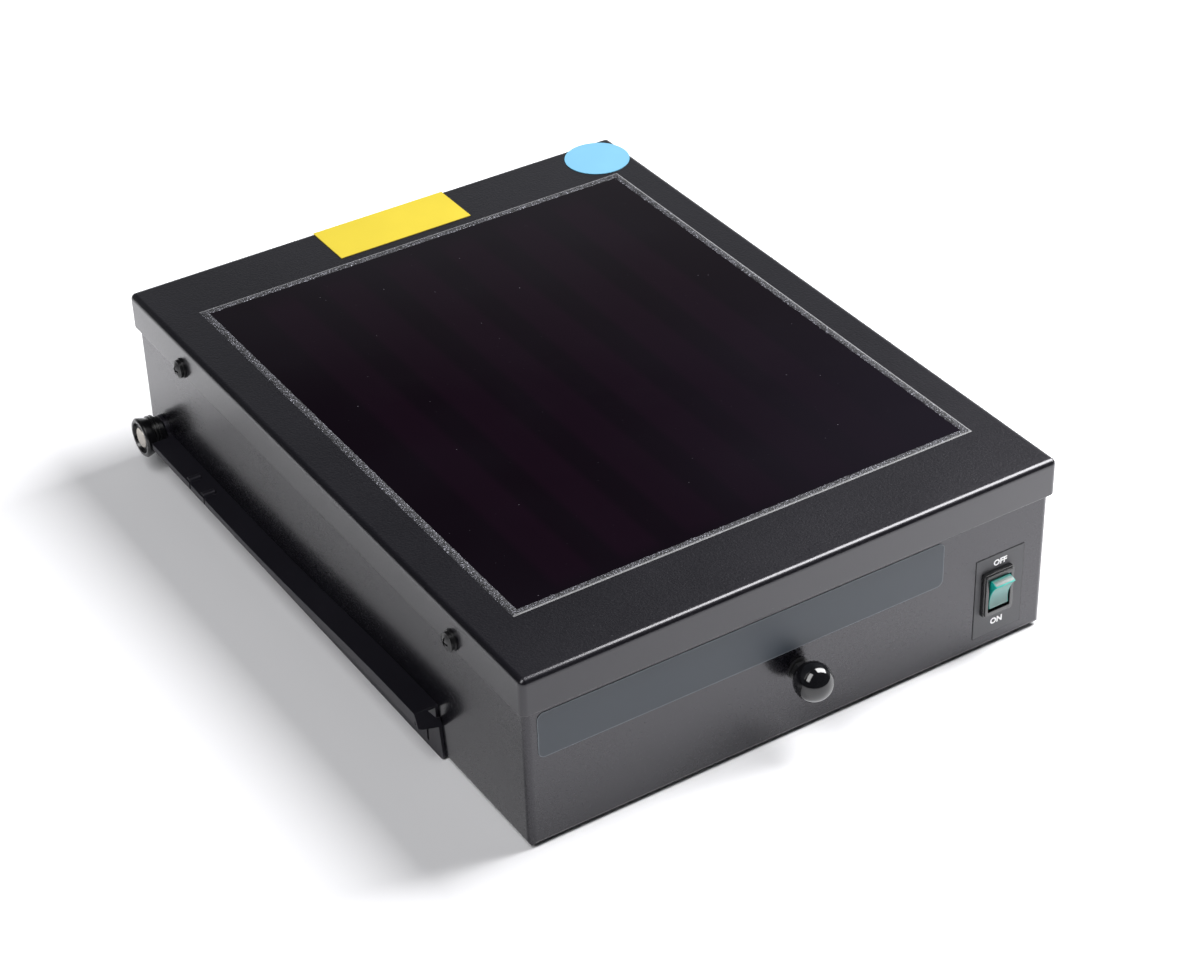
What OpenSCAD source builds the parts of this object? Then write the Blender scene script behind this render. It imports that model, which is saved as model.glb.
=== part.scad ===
// Bench transilluminator: a low folded-steel case with six tubes under a dark filter glass,
// a lift-off lid, a lit rocker switch, a pull knob and a roller slide along each side.
// Units are millimetres. X runs along the front, Y to the back, Z up.
// Z is 0 under the slides, which carry the case, and X and Y are 0 at the middle of the whole.

/* [Filter and lid] */
// Width of the filter glass
glass_w = 211; // [200:0.5:216]
// Distance of each end of the filter glass inside the caps of the tubes
glass_inset = 15.15; // [5:0.05:30]
// Thickness of the filter glass
glass_t = 5; // [3:0.5:6]
// Width of the silicone seal round the glass
seal_w = 2.5; // [1.5:0.1:4]
// Height of the silicone seal above the lid
seal_proud = 0.4; // [0.2:0.1:1]
// Lid border between the window and the left or right edge
lid_side = 17; // [17:0.5:24]
// Offset of the window to the right of the lid's centre
window_dx = 1.3; // [0:0.1:2]
// Offset of the window to the rear of the lid's centre
window_dy = 1; // [0:0.1:3]
// Depth of the lid's skirt, from the top of the lid
skirt_h = 16.6; // [14:0.2:20]
// Outer radius of the lid's folded edges
lid_fold = 2; // [1.5:0.1:3]
// Free gap between the lid's skirt and the case
lid_gap = 0.6; // [0.4:0.1:1]

/* [Case] */
// Thickness of the sheet steel
sheet = 1.2; // [1:0.1:1.5]
// Clear height of the space under the lamp tray
bay_h = 43.6; // [40:0.1:60]
// Free room between the lamp tray and the front or rear wall
tray_room = 6; // [4:0.1:12]
// Outer radius of the case's upright folds
corner_r = 2.8; // [2:0.1:4]
// Outer radius of the folds round the base
base_fold = 2; // [1.6:0.1:3]
// Width of the return flanges that the lid lies on
seat_w = 8; // [6:0.5:12]
// Clearance between the lid and its seat
seat_gap = 0.2; // [0.1:0.05:0.4]
// Length of one ventilation slot
vent_l = 24; // [14:1:28]
// Width of one ventilation slot
vent_w = 3; // [2:0.1:3.6]
// Spacing of the ventilation slots
vent_pitch = 8; // [6:0.5:10]
// Number of ventilation slots in the rear wall
vent_n = 14; // [6:1:16]

/* [Lid screws] */
// Thread diameter of the lid screws
lid_screw_d = 4; // [3:0.5:5]
// Head diameter of the lid screws
lid_head_d = 8; // [7:0.1:9]
// Head height of the lid screws
lid_head_h = 2.6; // [2:0.1:3.2]
// Outer diameter of the lid washers
washer_d = 9; // [8.5:0.1:10]
// Thickness of the lid washers
washer_t = 0.8; // [0.5:0.1:1.2]
// Height of the lid screws above the skirt's lower edge
lid_screw_up = 4; // [3.5:0.1:6]
// Distance of the lid screws from the front and the rear of the case
lid_screw_in = 48.7; // [30:0.1:80]

/* [Slides] */
// Length of a slide
rail_l = 250; // [200:1:290]
// Distance of the slide's rear end from the rear of the case
rail_inset = 13.8; // [11:0.1:60]
// Thickness of the slide's sheet steel
rail_t = 1.2; // [1:0.1:1.5]
// Width of the slide, from the case to its outer edge
rail_w = 10.5; // [9:0.1:12]
// Height of the running flange above the case's underside
rail_h = 19; // [17:0.1:24]
// Rise of the running flange at the front
ramp_rise = 5.2; // [2:0.1:8]
// Length of the rising part of the running flange
ramp_l = 155; // [40:1:180]
// Depth of the lip along the running flange
lip_h = 3.2; // [2:0.1:4.5]
// Width of the flange under the case
rail_foot = 11; // [8:0.5:16]
// Height of the bent-down front flap
flap_h = 6.7; // [4:0.1:8]
// Diameter of a roller
roller_d = 18.4; // [15:0.1:19]
// Width of a roller's tread
roller_w = 3.9; // [3.2:0.1:6]
// Distance of the roller's outer face from the case
roller_out = 12; // [11.6:0.1:12.5]
// Diameter of the roller's rivet
rivet_d = 5; // [4:0.1:6]
// Running clearance on the rivet's radius
rivet_fit = 0.05; // [0.02:0.01:0.1]

/* [Front] */
// Diameter of the knob's ball
knob_d = 16.2; // [12:0.1:20]
// Distance of the ball's centre in front of the panel
knob_out = 10; // [9:0.1:14]
// Distance of the knob's centre below the name band
knob_drop = 10.5; // [9:0.1:20]
// Width of the switch frame
switch_w = 15; // [14.4:0.1:16]
// Height of the switch frame
switch_h = 20.8; // [20.6:0.1:23]
// Distance of the switch frame's face in front of the panel
switch_out = 3; // [2.4:0.1:5]
// Distance of the switch's centre from the right side of the case
switch_edge = 25.6; // [20:0.1:34]
// Height of the switch's centre above the case's underside
switch_z = 27.6; // [22:0.1:34]
// Swing of the rocker from one end to the other, in degrees
rocker_swing = 30; // [16:1:32]
// Distance between the blank name band and the plate behind the switch
band_gap = 17; // [8:0.5:60]
// Height of the blank name band
band_h = 21; // [12:0.5:22]
// Distance of the name band from the left side of the case
band_edge = 5.2; // [4:0.1:12]
// Distance of the name band below the lid's skirt
band_drop = 2.4; // [1:0.1:4]
// Width of the plate behind the switch
plate_w = 24.5; // [22:0.1:28]
// Height of the plate behind the switch
plate_h = 39; // [34:0.5:42]
// Thickness of the labels and plates
film_t = 0.25; // [0.15:0.05:0.5]

/* [Top labels] */
// Width of the plain yellow label
label_w = 67; // [40:1:70]
// Length of the plain yellow label, front to back
label_l = 27; // [15:0.5:28]
// Distance of the yellow label from the lid's rear edge
label_edge = 1; // [0.5:0.1:4]
// Diameter of the plain blue disc
disc_d = 30.6; // [20:0.1:31]

/* [Tubes] */
// Number of tubes
tube_n = 6; // [3:1:7]
// Spacing of the tubes
tube_pitch = 30; // [26:0.5:31]
// Diameter of a tube
tube_d = 16; // [15:0.1:17]
// Length of a tube between the faces of its caps
tube_l = 288.3; // [270:0.1:290]
// Distance of the tube axis below the glass
tube_drop = 15.5; // [12:0.1:17]
// Distance of the lamp tray below the tubes
reflector_drop = 7; // [6:0.1:10]
// Height of the reflector's ridges between the tubes
ridge_h = 10; // [4:0.1:11]
// Thickness of a tube holder, along the tube
holder_t = 11; // [9:0.1:12]

/* [Electrics] */
// Length of a ballast's housing
ballast_l = 112; // [80:1:130]
// Width of a ballast's housing
ballast_w = 38; // [28:0.5:40]
// Height of a ballast's housing
ballast_h = 27; // [18:0.5:34]
// Spacing of the ballasts
ballast_pitch = 52; // [46:0.5:54]
// Distance of the mains inlet's centre from the right side of the case
inlet_edge = 52; // [40:0.5:70]
// Width of the mains inlet's flange
inlet_w = 50; // [48:0.5:54]
// Height of the mains inlet's flange
inlet_h = 33; // [32:0.5:36]
// Thickness of the mains inlet's flange
inlet_t = 2.6; // [2:0.1:3.5]
// Travel of the fuse drawer
drawer_travel = 16; // [10:1:20]

/* [Hidden] */
$fn = 64;

coat = [0.13, 0.13, 0.14];
steel = [0.72, 0.73, 0.75];
plastic = [0.08, 0.08, 0.09];
e = 1;

// across: the lid and the case stand round the window
window_w = glass_w + 2 * seal_w;
lid_w = window_w + 2 * lid_side;
case_w = lid_w - 2 * (sheet + lid_gap);

// lengthwise: the tubes and their holders give the tray, and the tray gives the case and the lid
cap_gap = 0.35;
tray_past = 1;
glass_l = tube_l - 2 * glass_inset;
window_l = glass_l + 2 * seal_w;
tray_l = tube_l + 2 * (cap_gap + holder_t + tray_past);
case_d = tray_l + 2 * (tray_room + sheet);
lid_l = case_d + 2 * (sheet + lid_gap);

// heights, from the slides' feet up
tray_t = 1;
case_z = rail_t;
floor_z = case_z + sheet;
tray_z = floor_z + bay_h;
tray_top = tray_z + tray_t;
tube_z = tray_top + reflector_drop + tube_d / 2;
glass_z = tube_z + tube_drop;
lid_top = glass_z + glass_t;
lid_under = lid_top - sheet;
case_top = lid_under - seat_gap;
case_h = case_top - case_z;
skirt_z = lid_top - skirt_h;

// the knob reaches furthest to the front and the fuse drawer's grip furthest to the rear
grip_t = 1;
knob_reach = knob_out + knob_d / 2;
rear_reach = inlet_t + grip_t;
mid_y = (knob_reach - rear_reach) / 2;
front_y = mid_y - case_d / 2;
rear_y = mid_y + case_d / 2;
side_x = case_w / 2;

// fits
slack = 0.05;
hole_gap = 0.15;
lay = 0.3;

// threads and nuts: diameter, width across the flats, height of the nut, length past the nut
m3 = 3;
m3_af = 5.5;
m3_nut = 2.4;
m3_head = 5.6;
m4 = 4;
m4_af = 7;
m4_nut = 3.2;
past = 1;

// a rectangle with true round corners
module round_rect(w, d, r) {
    square([w - 2 * r, d], center = true);
    square([w, d - 2 * r], center = true);
    for (sx = [-1, 1], sy = [-1, 1])
        translate([sx * (w / 2 - r), sy * (d / 2 - r)]) circle(r = r);
}

// an upright section of height h whose two lower corners are round
module trough(w, h, r) {
    translate([-w / 2, r]) square([w, h - r]);
    translate([r - w / 2, 0]) square([w - 2 * r, h]);
    for (sx = [-1, 1]) translate([sx * (w / 2 - r), r]) circle(r = r);
}

// a folded tray with upright folds of radius rv and base folds of radius rb
module tub(w, d, h, rv, rb) {
    intersection() {
        linear_extrude(h) round_rect(w, d, rv);
        translate([0, d / 2 + e, 0]) rotate([90, 0, 0]) linear_extrude(d + 2 * e) trough(w, h, rb);
        translate([-w / 2 - e, 0, 0]) rotate([90, 0, 90]) linear_extrude(w + 2 * e) trough(d, h, rb);
    }
}

// a round bar along +X, +Y or +Z from p
module rod_x(p, d, l) { translate(p) rotate([0, 90, 0]) cylinder(d = d, h = l); }
module rod_y(p, d, l) { translate(p) rotate([-90, 0, 0]) cylinder(d = d, h = l); }
module rod_z(p, d, l) { translate(p) cylinder(d = d, h = l); }

// a hexagon nut on Z with a plain bore, af across its flats
module nut(d, af, h) {
    difference() {
        cylinder(d = af / cos(30), h = h, $fn = 6);
        translate([0, 0, -e]) cylinder(d = d + 2 * slack, h = h + 2 * e);
    }
}

// a pan head screw on Z: the head from 0 up, the shank down
module pan_screw(d, head_d, head_h, l) {
    difference() {
        union() {
            cylinder(d = head_d, h = head_h * 0.55);
            intersection() {
                translate([0, 0, head_h * 0.55 - 0.01]) cylinder(d = head_d, h = head_h);
                translate([0, 0, head_h - head_d * 0.8]) sphere(r = head_d * 0.8);
            }
        }
        for (a = [0, 90]) rotate(a)
            translate([-head_d * 0.28, -head_d * 0.055, head_h * 0.45])
                cube([head_d * 0.56, head_d * 0.11, head_h]);
    }
    translate([0, 0, -l]) cylinder(d = d, h = l + 0.01);
}

// a slot with round ends, long along Y, cut through h
module slot_y(w, l, h) {
    translate([-w / 2, -(l - w) / 2, 0]) cube([w, l - w, h]);
    for (s = [-1, 1]) translate([0, s * (l - w) / 2, 0]) cylinder(d = w, h = h);
}

// on both sides of the case
module both_sides() {
    children();
    mirror([1, 0, 0]) children();
}

// Lid

window_x = window_dx;
window_y = mid_y + window_dy;
lid_screw_z = skirt_z + lid_screw_up;
lid_slot_w = lid_screw_d + 4 * hole_gap;
carrier_wall = 1;
carrier_lap = 4;
carrier_flange = 8;
gasket_t = 0.5;
carrier_z = glass_z - gasket_t - carrier_wall;
lid_screw_y = case_d / 2 - lid_screw_in;

module lid_shell() color(coat) {
    difference() {
        translate([0, mid_y, lid_top]) mirror([0, 0, 1])
            tub(lid_w, lid_l, skirt_h, corner_r, lid_fold);
        translate([0, mid_y, lid_under]) mirror([0, 0, 1])
            tub(lid_w - 2 * sheet, lid_l - 2 * sheet, skirt_h, corner_r - sheet, lid_fold - sheet);
        translate([window_x, window_y, lid_under - e]) linear_extrude(sheet + 2 * e)
            square([window_w, window_l], center = true);
        for (s = [-1, 1]) translate([0, mid_y + s * lid_screw_y, lid_screw_z]) {
            rod_x([-lid_w, 0, 0], lid_slot_w, 2 * lid_w);
            translate([-lid_w, -lid_slot_w / 2, -skirt_h]) cube([2 * lid_w, lid_slot_w, skirt_h]);
        }
    }
}

// a rectangular ring round the window, from inside size to outside size, grown by a and b
module window_ring(a, b, z, h) {
    translate([window_x, window_y, z]) linear_extrude(h) difference() {
        square([window_w + 2 * b, window_l + 2 * b], center = true);
        square([window_w + 2 * a, window_l + 2 * a], center = true);
    }
}

module filter_glass() color([0.05, 0.02, 0.06, 0.8])
    translate([window_x, window_y, glass_z]) linear_extrude(glass_t)
        square([glass_w, glass_l], center = true);

module filter_seal() color([0.45, 0.46, 0.48])
    window_ring(-seal_w, 0, glass_z, glass_t + seal_proud);

module carrier_gasket() color([0.2, 0.2, 0.2])
    window_ring(-carrier_lap, 0, glass_z - gasket_t, gasket_t);

// the Z-shaped frame under the lid that the glass lies on
module glass_carrier() color(steel) difference() {
    union() {
        window_ring(-carrier_lap, carrier_wall, carrier_z, carrier_wall);
        window_ring(0, carrier_wall, carrier_z, lid_under - carrier_z);
        window_ring(0, carrier_flange, lid_under - carrier_wall, carrier_wall);
    }
    at_carrier_studs() translate([0, 0, -2 * glass_t])
        cylinder(d = m3 + 2 * hole_gap, h = 2 * glass_t + e);
}

carrier_stud_off = (carrier_flange + 2 * carrier_wall) / 2;
module at_carrier_studs() {
    for (sy = [-1, 1], sx = [-1, 0, 1])
        translate([window_x + sx * window_w * 0.4,
            window_y + sy * (window_l / 2 + carrier_stud_off), lid_under]) children();
    for (sx = [-1, 1], sy = [-1, 1])
        translate([window_x + sx * (window_w / 2 + carrier_stud_off),
            window_y + sy * window_l * 0.2, lid_under]) children();
}

module carrier_studs() color(steel) at_carrier_studs()
    translate([0, 0, -carrier_wall - m3_nut - past]) cylinder(d = m3, h = carrier_wall + m3_nut + past);

module carrier_nuts() color(steel) at_carrier_studs()
    translate([0, 0, -carrier_wall - m3_nut]) nut(m3, m3_af, m3_nut);

label_x = -0.4;
disc_edge = 0.3;
module yellow_label() color([0.95, 0.8, 0.1])
    translate([label_x, mid_y + lid_l / 2 - label_edge - label_l / 2, lid_top])
        linear_extrude(film_t) square([label_w, label_l], center = true);

module blue_disc() color([0.2, 0.6, 0.85])
    translate([lid_w / 2 - disc_d / 2 - disc_edge, mid_y + lid_l / 2 - disc_d / 2 - disc_edge, lid_top])
        cylinder(d = disc_d, h = film_t);

// Case

switch_x = side_x - switch_edge;
switch_cz = case_z + switch_z;
band_z0 = skirt_z - band_drop - band_h;
knob_cz = band_z0 - knob_drop;
inlet_x = side_x - inlet_edge;
inlet_cz = floor_z + bay_h / 2;
cutout_w = 13;
cutout_h = 19;
inlet_hole_w = 28.4;
inlet_hole_h = 28.6;
inlet_screw_x = 20;
rail_y1 = rear_y - rail_inset;
rail_y0 = rail_y1 - rail_l;
rail_screw_up = 9;
rail_screw_z = case_z + rail_screw_up;
rail_screw_ys = [for (k = [0.1, 0.5, 0.9]) rail_y1 - rail_l * k];
// a row of slots in the rear wall and two across the base, before and behind the ballasts
vent_edge = 28;
vent_x0 = -side_x + vent_edge;
vent_front = 46;
vent_rear = 99;
vent_rows = [front_y + vent_front, rear_y - vent_rear];

module case_shell() color(coat) {
    difference() {
        translate([0, mid_y, case_z]) tub(case_w, case_d, case_h, corner_r, base_fold);
        translate([0, mid_y, floor_z])
            tub(case_w - 2 * sheet, case_d - 2 * sheet, case_h + e, corner_r - sheet, base_fold - sheet);
        at_lid_screws() translate([0, 0, -sheet - e])
            cylinder(d = lid_screw_d + 2 * hole_gap, h = sheet + 2 * e);
        at_rail_screws() translate([0, 0, -sheet - e]) cylinder(d = m4 + 2 * hole_gap, h = sheet + 2 * e);
        rod_y([0, front_y - e, knob_cz], m4 + 2 * hole_gap, sheet + 2 * e);
        translate([switch_x - cutout_w / 2, front_y - e, switch_cz - cutout_h / 2])
            cube([cutout_w, sheet + 2 * e, cutout_h]);
        translate([inlet_x - inlet_hole_w / 2, rear_y - sheet - e, inlet_cz - inlet_hole_h / 2])
            cube([inlet_hole_w, sheet + 2 * e, inlet_hole_h]);
        for (s = [-1, 1])
            rod_y([inlet_x + s * inlet_screw_x, rear_y - sheet - e, inlet_cz],
                m3 + 2 * hole_gap, sheet + 2 * e);
        for (i = [0 : vent_n - 1]) {
            translate([vent_x0 + i * vent_pitch, rear_y - sheet - e, inlet_cz])
                rotate([-90, 0, 0]) slot_y(vent_w, vent_l, sheet + 2 * e);
            for (y = vent_rows)
                translate([(i - (vent_n - 1) / 2) * vent_pitch, y, case_z - e])
                    slot_y(vent_w, vent_l, sheet + 2 * e);
        }
    }
    for (s = [-1, 1])
        translate([-side_x + corner_r, mid_y + s * (case_d - sheet - seat_w) / 2 - seat_w / 2, case_top - sheet])
            cube([case_w - 2 * corner_r, seat_w, sheet]);
}

// the heads of the lid screws face outwards: Z points out of the side here
module at_lid_screws() {
    both_sides() for (s = [-1, 1])
        translate([side_x, mid_y + s * lid_screw_y, lid_screw_z]) rotate([0, 90, 0]) children();
}

lid_stand = sheet + lid_gap + 2 * slack;
module lid_washers() color(coat) at_lid_screws() translate([0, 0, lid_stand]) difference() {
    cylinder(d = washer_d, h = washer_t);
    translate([0, 0, -e]) cylinder(d = lid_screw_d + 2 * slack, h = washer_t + 2 * e);
}
module lid_screws() color(coat) at_lid_screws() translate([0, 0, lid_stand + washer_t])
    pan_screw(lid_screw_d, lid_head_d, lid_head_h, lid_stand + washer_t + sheet + m4_nut + past);
module lid_nuts() color(steel) at_lid_screws() translate([0, 0, -sheet - m4_nut])
    nut(lid_screw_d, lid_screw_d + m4_af - m4, m4_nut);

// Slides, drawn on the right and mirrored

roller_drop = 2.2;
roller_room = 0.8;
roller_y = rail_y1;
roller_z = case_z + rail_h - roller_drop;
rail_eye = 2;
nose_r = 2;
nose_l = 3.8;
nose_lean = 2.2;
flange_y0 = rail_y0 + nose_l;
flange_y1 = roller_y - roller_d / 2 - roller_room;
foot_front = 6;
foot_rear = 2;
flap_lean = 26;
// the lip grows deeper as the flange rises
lip_grow = 2.4;
// stop dimples, measured from the slide's rear end, and a slot in the web
dimple_d = 4;
dimple_l = 5.6;
dimple_in = 0.6;
dimple_backs = [45.5, 59.5];
lip_nick = 1.2;
web_slot_w = 1.6;
web_slot_l = 6.6;
web_slot_in = 11.6;
web_slot_up = 4.8;
ramp_n = 14;
// top of the running flange at y: level, then a smooth rise towards the front
function run_z(y) = case_z + rail_h
    + ramp_rise * (1 - cos(180 * min(1, max(0, (flange_y0 + ramp_l - y) / ramp_l)))) / 2;
run_ys = concat([for (i = [0 : ramp_n]) flange_y0 + ramp_l * i / ramp_n], [flange_y1]);

// a band under the running line, b deep and deeper by grow at the front, between x0 and x1
module run_band(b, grow, x0, x1) {
    translate([x0, 0, 0]) rotate([90, 0, 90]) linear_extrude(x1 - x0) polygon(concat(
        [for (y = run_ys) [y, run_z(y)]],
        [for (i = [len(run_ys) - 1 : -1 : 0]) [run_ys[i],
            run_z(run_ys[i]) - b - grow * (run_z(run_ys[i]) - run_z(rail_y1)) / ramp_rise]]));
}

// the front flap, bent down and forward from the flange's end, and joined to the web at its foot
module flap() {
    l = flap_h / cos(flap_lean);
    translate([side_x, flange_y0 + rail_t, run_z(flange_y0) - rail_t * sin(flap_lean)])
        rotate([90 - flap_lean, 0, 0]) mirror([0, 1, 0]) linear_extrude(rail_t) polygon([
            [rail_w, 0], [rail_w / 2, 0], [0.3 * rail_w, 0.43 * l], [0.2 * rail_w, 0.66 * l],
            [rail_t / 2, 0.71 * l], [rail_t / 2, 1.22 * l], [0.84 * rail_w, 0.98 * l], [rail_w, 0.86 * l]]);
}

module rail() {
    x1 = side_x + rail_t;
    difference() {
        union() {
            // web and its lower edge, rounded at the front
            translate([side_x, 0, 0]) rotate([90, 0, 90]) linear_extrude(rail_t) {
                polygon(concat(
                    [for (y = run_ys) [y, run_z(y)]],
                    [[rail_y1, case_z + rail_h], [rail_y1, 0], [rail_y0 + nose_r, 0], [rail_y0, nose_r],
                    [rail_y0 + nose_lean, run_z(flange_y0) - flap_h], [flange_y0, run_z(flange_y0) - flap_h]]));
                translate([rail_y0 + nose_r, nose_r]) circle(r = nose_r);
                translate([roller_y, roller_z]) circle(d = roller_d - 2 * rail_eye);
            }
            // foot under the case
            translate([side_x - rail_foot, rail_y0 + foot_front, 0])
                cube([rail_foot + rail_t, rail_l - foot_front - foot_rear, rail_t]);
            run_band(rail_t, 0, side_x, side_x + rail_w);
            run_band(lip_h, lip_grow, side_x + rail_w - rail_t, side_x + rail_w);
            flap();
            for (k = dimple_backs)
                rod_x([side_x + rail_w - dimple_in - dimple_l, rail_y1 - k, case_z + rail_h - dimple_in],
                    dimple_d, dimple_l);
        }
        translate([0, roller_y, roller_z]) rod_x([side_x - e, 0, 0], rivet_d, rail_t + 2 * e);
        at_rail_screws() translate([0, 0, -e]) cylinder(d = m4 + 2 * hole_gap, h = rail_t + 2 * e);
        translate([side_x - e, rail_y0 + web_slot_in, case_z + web_slot_up]) rotate([90, 0, 90])
            slot_y(web_slot_w, web_slot_l, rail_t + 2 * e);
        // room under the dimples, and the nick that each leaves in the lip
        for (k = dimple_backs) {
            translate([side_x + rail_t, rail_y1 - k - dimple_d, case_z])
                cube([rail_w - 2 * rail_t, 2 * dimple_d, rail_h - 1.2 * rail_t]);
            translate([side_x + rail_w - rail_t / 2, rail_y1 - k - dimple_d / 2 - lip_nick, case_z])
                cube([rail_t, lip_nick, rail_h + e]);
        }
    }
}

module slide_rail_right() color(coat) rail();
module slide_rail_left() color(coat) mirror([1, 0, 0]) rail();

module at_rail_screws() {
    both_sides() for (y = rail_screw_ys)
        translate([side_x, y, rail_screw_z]) rotate([0, 90, 0]) children();
}
rail_head_h = 1.6;
module rail_screws() color(steel) at_rail_screws() translate([0, 0, rail_t])
    pan_screw(m4, m4_af, rail_head_h, rail_t + sheet + m4_nut + past);
module rail_nuts() color(steel) at_rail_screws() translate([0, 0, -sheet - m4_nut])
    nut(m4, m4_af, m4_nut);

// a roller: a hub against the slide, thin ridges, the tread and a dished outer face
roller_hub_d = 9;
rivet_head_d = 9.4;
rivet_head_h = 0.9;
roller_dish = 1.6;
roller_rim = 2;
rib = 0.4;
module roller() {
    x0 = side_x + rail_t + lay;
    x1 = side_x + roller_out;
    r = roller_d / 2;
    bore = rivet_d / 2 + rivet_fit;
    face = x1 - roller_dish;
    tread = x1 - roller_w;
    translate([0, roller_y, roller_z]) rotate([0, 90, 0]) rotate_extrude() polygon([
        [bore, x0], [roller_hub_d / 2, x0], [roller_hub_d / 2, x0 + 2 * rib],
        [r - 4 * rib, x0 + 2 * rib], [r - 4 * rib, tread - 7 * rib], [r, tread - 7 * rib],
        [r, tread - 6 * rib], [r - 4 * rib, tread - 6 * rib], [r - 4 * rib, tread - 3 * rib],
        [r, tread - 3 * rib], [r, tread - 2 * rib], [r - 4 * rib, tread - 2 * rib],
        [r - 4 * rib, tread], [r - rib, tread], [r, x1 - 2 * rib], [r - 2 * rib, x1],
        [r - roller_rim, x1], [r - roller_rim - rib, face], [bore, face]]);
}
module roller_right() color(plastic) roller();
module roller_left() color(plastic) mirror([1, 0, 0]) roller();

module roller_rivets() color([0.8, 0.78, 0.72]) both_sides() translate([0, roller_y, roller_z]) {
    rod_x([side_x, 0, 0], rivet_d, roller_out - roller_dish + lay);
    translate([side_x + roller_out - roller_dish + lay - 0.01, 0, 0]) rotate([0, 90, 0])
        rotate_extrude() polygon([[0, 0], [rivet_head_d / 2, 0], [rivet_head_d / 2, rivet_head_h * 0.45],
            [rivet_head_d / 2 - rivet_head_h * 0.9, rivet_head_h], [0, rivet_head_h]]);
}

// Front

knob_flat = knob_d * 0.43;
knob_stack = knob_out - knob_flat;
knob_washer_t = 0.8;
knob_washer_d = 10;
knob_hole_in = 2;
module knob() color(plastic) translate([0, front_y - knob_out, knob_cz]) rotate([90, 0, 0])
    rotate_extrude() difference() {
        circle(d = knob_d);
        translate([-knob_d, -knob_d]) square([knob_d, 2 * knob_d]);
        translate([-e, -knob_flat - knob_d]) square([knob_d, knob_d]);
        translate([-e, -knob_flat - e]) square([e + m4 / 2 + slack, knob_flat + knob_hole_in + e]);
    }
module knob_stud() color(steel)
    rod_y([0, front_y - knob_out - knob_hole_in + lay, knob_cz], m4,
        knob_out + knob_hole_in - lay + sheet + knob_washer_t + m4_nut + past);
module knob_washers() color(plastic) for (y = [front_y - knob_washer_t, front_y + sheet]) difference() {
    rod_y([0, y, knob_cz], knob_washer_d, knob_washer_t);
    rod_y([0, y - e, knob_cz], m4 + 2 * slack, knob_washer_t + 2 * e);
}
module knob_nuts() color(plastic) {
    translate([0, front_y - knob_washer_t, knob_cz]) rotate([90, 0, 0])
        nut(m4, m4_af, knob_stack - knob_washer_t);
    translate([0, front_y + sheet + knob_washer_t + m4_nut, knob_cz]) rotate([90, 0, 0])
        nut(m4, m4_af, m4_nut);
}

// switch: the frame stands on the panel, its housing passes through the cut-out
frame_wall = 2;
frame_end = 2.5;
frame_step = 0.8;
frame_set = 0.5;
frame_r = 0.8;
body_depth = 15;
rocker_gap = 0.6;
pivot_in = 0.5;
pivot_d = 2.4;
pivot_wall = 0.8;
pivot_end = 1.2;
rocker_half = 7.1;
rocker_low = 6.4;
rocker_up = 2.3;
rocker_down = 4.6;
rocker_sag = 1.6;
rocker_r = 7.6;
rocker_room = 1.5;
tag_w = 6.3;
tag_l = 8;
tag_t = 0.8;
tag_pitch = 6;
switch_face = front_y - film_t - switch_out;
pivot_y = switch_face + pivot_in;
tag_y = front_y - film_t + body_depth;

module switch_frame() color(plastic) difference() {
    union() {
        translate([switch_x, front_y - film_t, switch_cz]) rotate([90, 0, 0])
            linear_extrude(switch_out - frame_step) round_rect(switch_w, switch_h, frame_r);
        translate([switch_x, switch_face + frame_step + 0.01, switch_cz]) rotate([90, 0, 0])
            linear_extrude(frame_step + 0.01)
                round_rect(switch_w - 2 * frame_set, switch_h - 2 * frame_set, frame_r);
        translate([switch_x - cutout_w / 2 + slack, front_y - film_t - 0.01,
            switch_cz - cutout_h / 2 + slack]) cube([cutout_w - 2 * slack, body_depth, cutout_h - 2 * slack]);
    }
    translate([switch_x - switch_w / 2 + frame_wall, switch_face - e, switch_cz - switch_h / 2 + frame_end])
        cube([switch_w - 2 * frame_wall, rocker_r + pivot_in + e + rocker_room, switch_h - 2 * frame_end]);
    rod_x([switch_x - switch_w / 2 + pivot_wall, pivot_y, switch_cz], pivot_d + 2 * slack,
        switch_w - 2 * pivot_wall);
}

rocker_w = switch_w - 2 * frame_wall - 2 * rocker_gap;
sag_r = (rocker_half * rocker_half + rocker_sag * rocker_sag) / (2 * rocker_sag);
// drawn level, then tipped so that its upper end stands out
module switch_rocker() color([0.1, 0.65, 0.5]) translate([switch_x, pivot_y, switch_cz])
    rotate([rocker_swing / 2, 0, 0]) {
        difference() {
            intersection() {
                rod_x([-rocker_w / 2, 0, 0], 2 * rocker_r, rocker_w);
                translate([-rocker_w, -rocker_up, -rocker_low])
                    cube([2 * rocker_w, rocker_up + rocker_down, rocker_low + rocker_r]);
            }
            rod_x([-rocker_w, -rocker_up + rocker_sag - sag_r, 0], 2 * sag_r, 2 * rocker_w);
        }
        rod_x([-rocker_w / 2 - frame_wall + pivot_end, 0, 0], pivot_d, rocker_w + 2 * (frame_wall - pivot_end));
    }

module switch_terminals() color([0.85, 0.75, 0.4])
    for (k = [-1, 0, 1])
        translate([switch_x - tag_w / 2, tag_y - 0.01, switch_cz + k * tag_pitch - tag_t / 2])
            cube([tag_w, tag_l, tag_t]);

module plate_2d() {
    difference() {
        square([plate_w, plate_h]);
        translate([switch_x - plate_x - cutout_w / 2, switch_cz - plate_z - cutout_h / 2])
            square([cutout_w, cutout_h]);
    }
}
plate_left = 10.4;
plate_down = 21.6;
plate_x = switch_x - plate_left;
plate_z = switch_cz - plate_down;
module switch_plate() color(coat)
    translate([plate_x, front_y, plate_z]) rotate([90, 0, 0]) linear_extrude(film_t) plate_2d();

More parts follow.
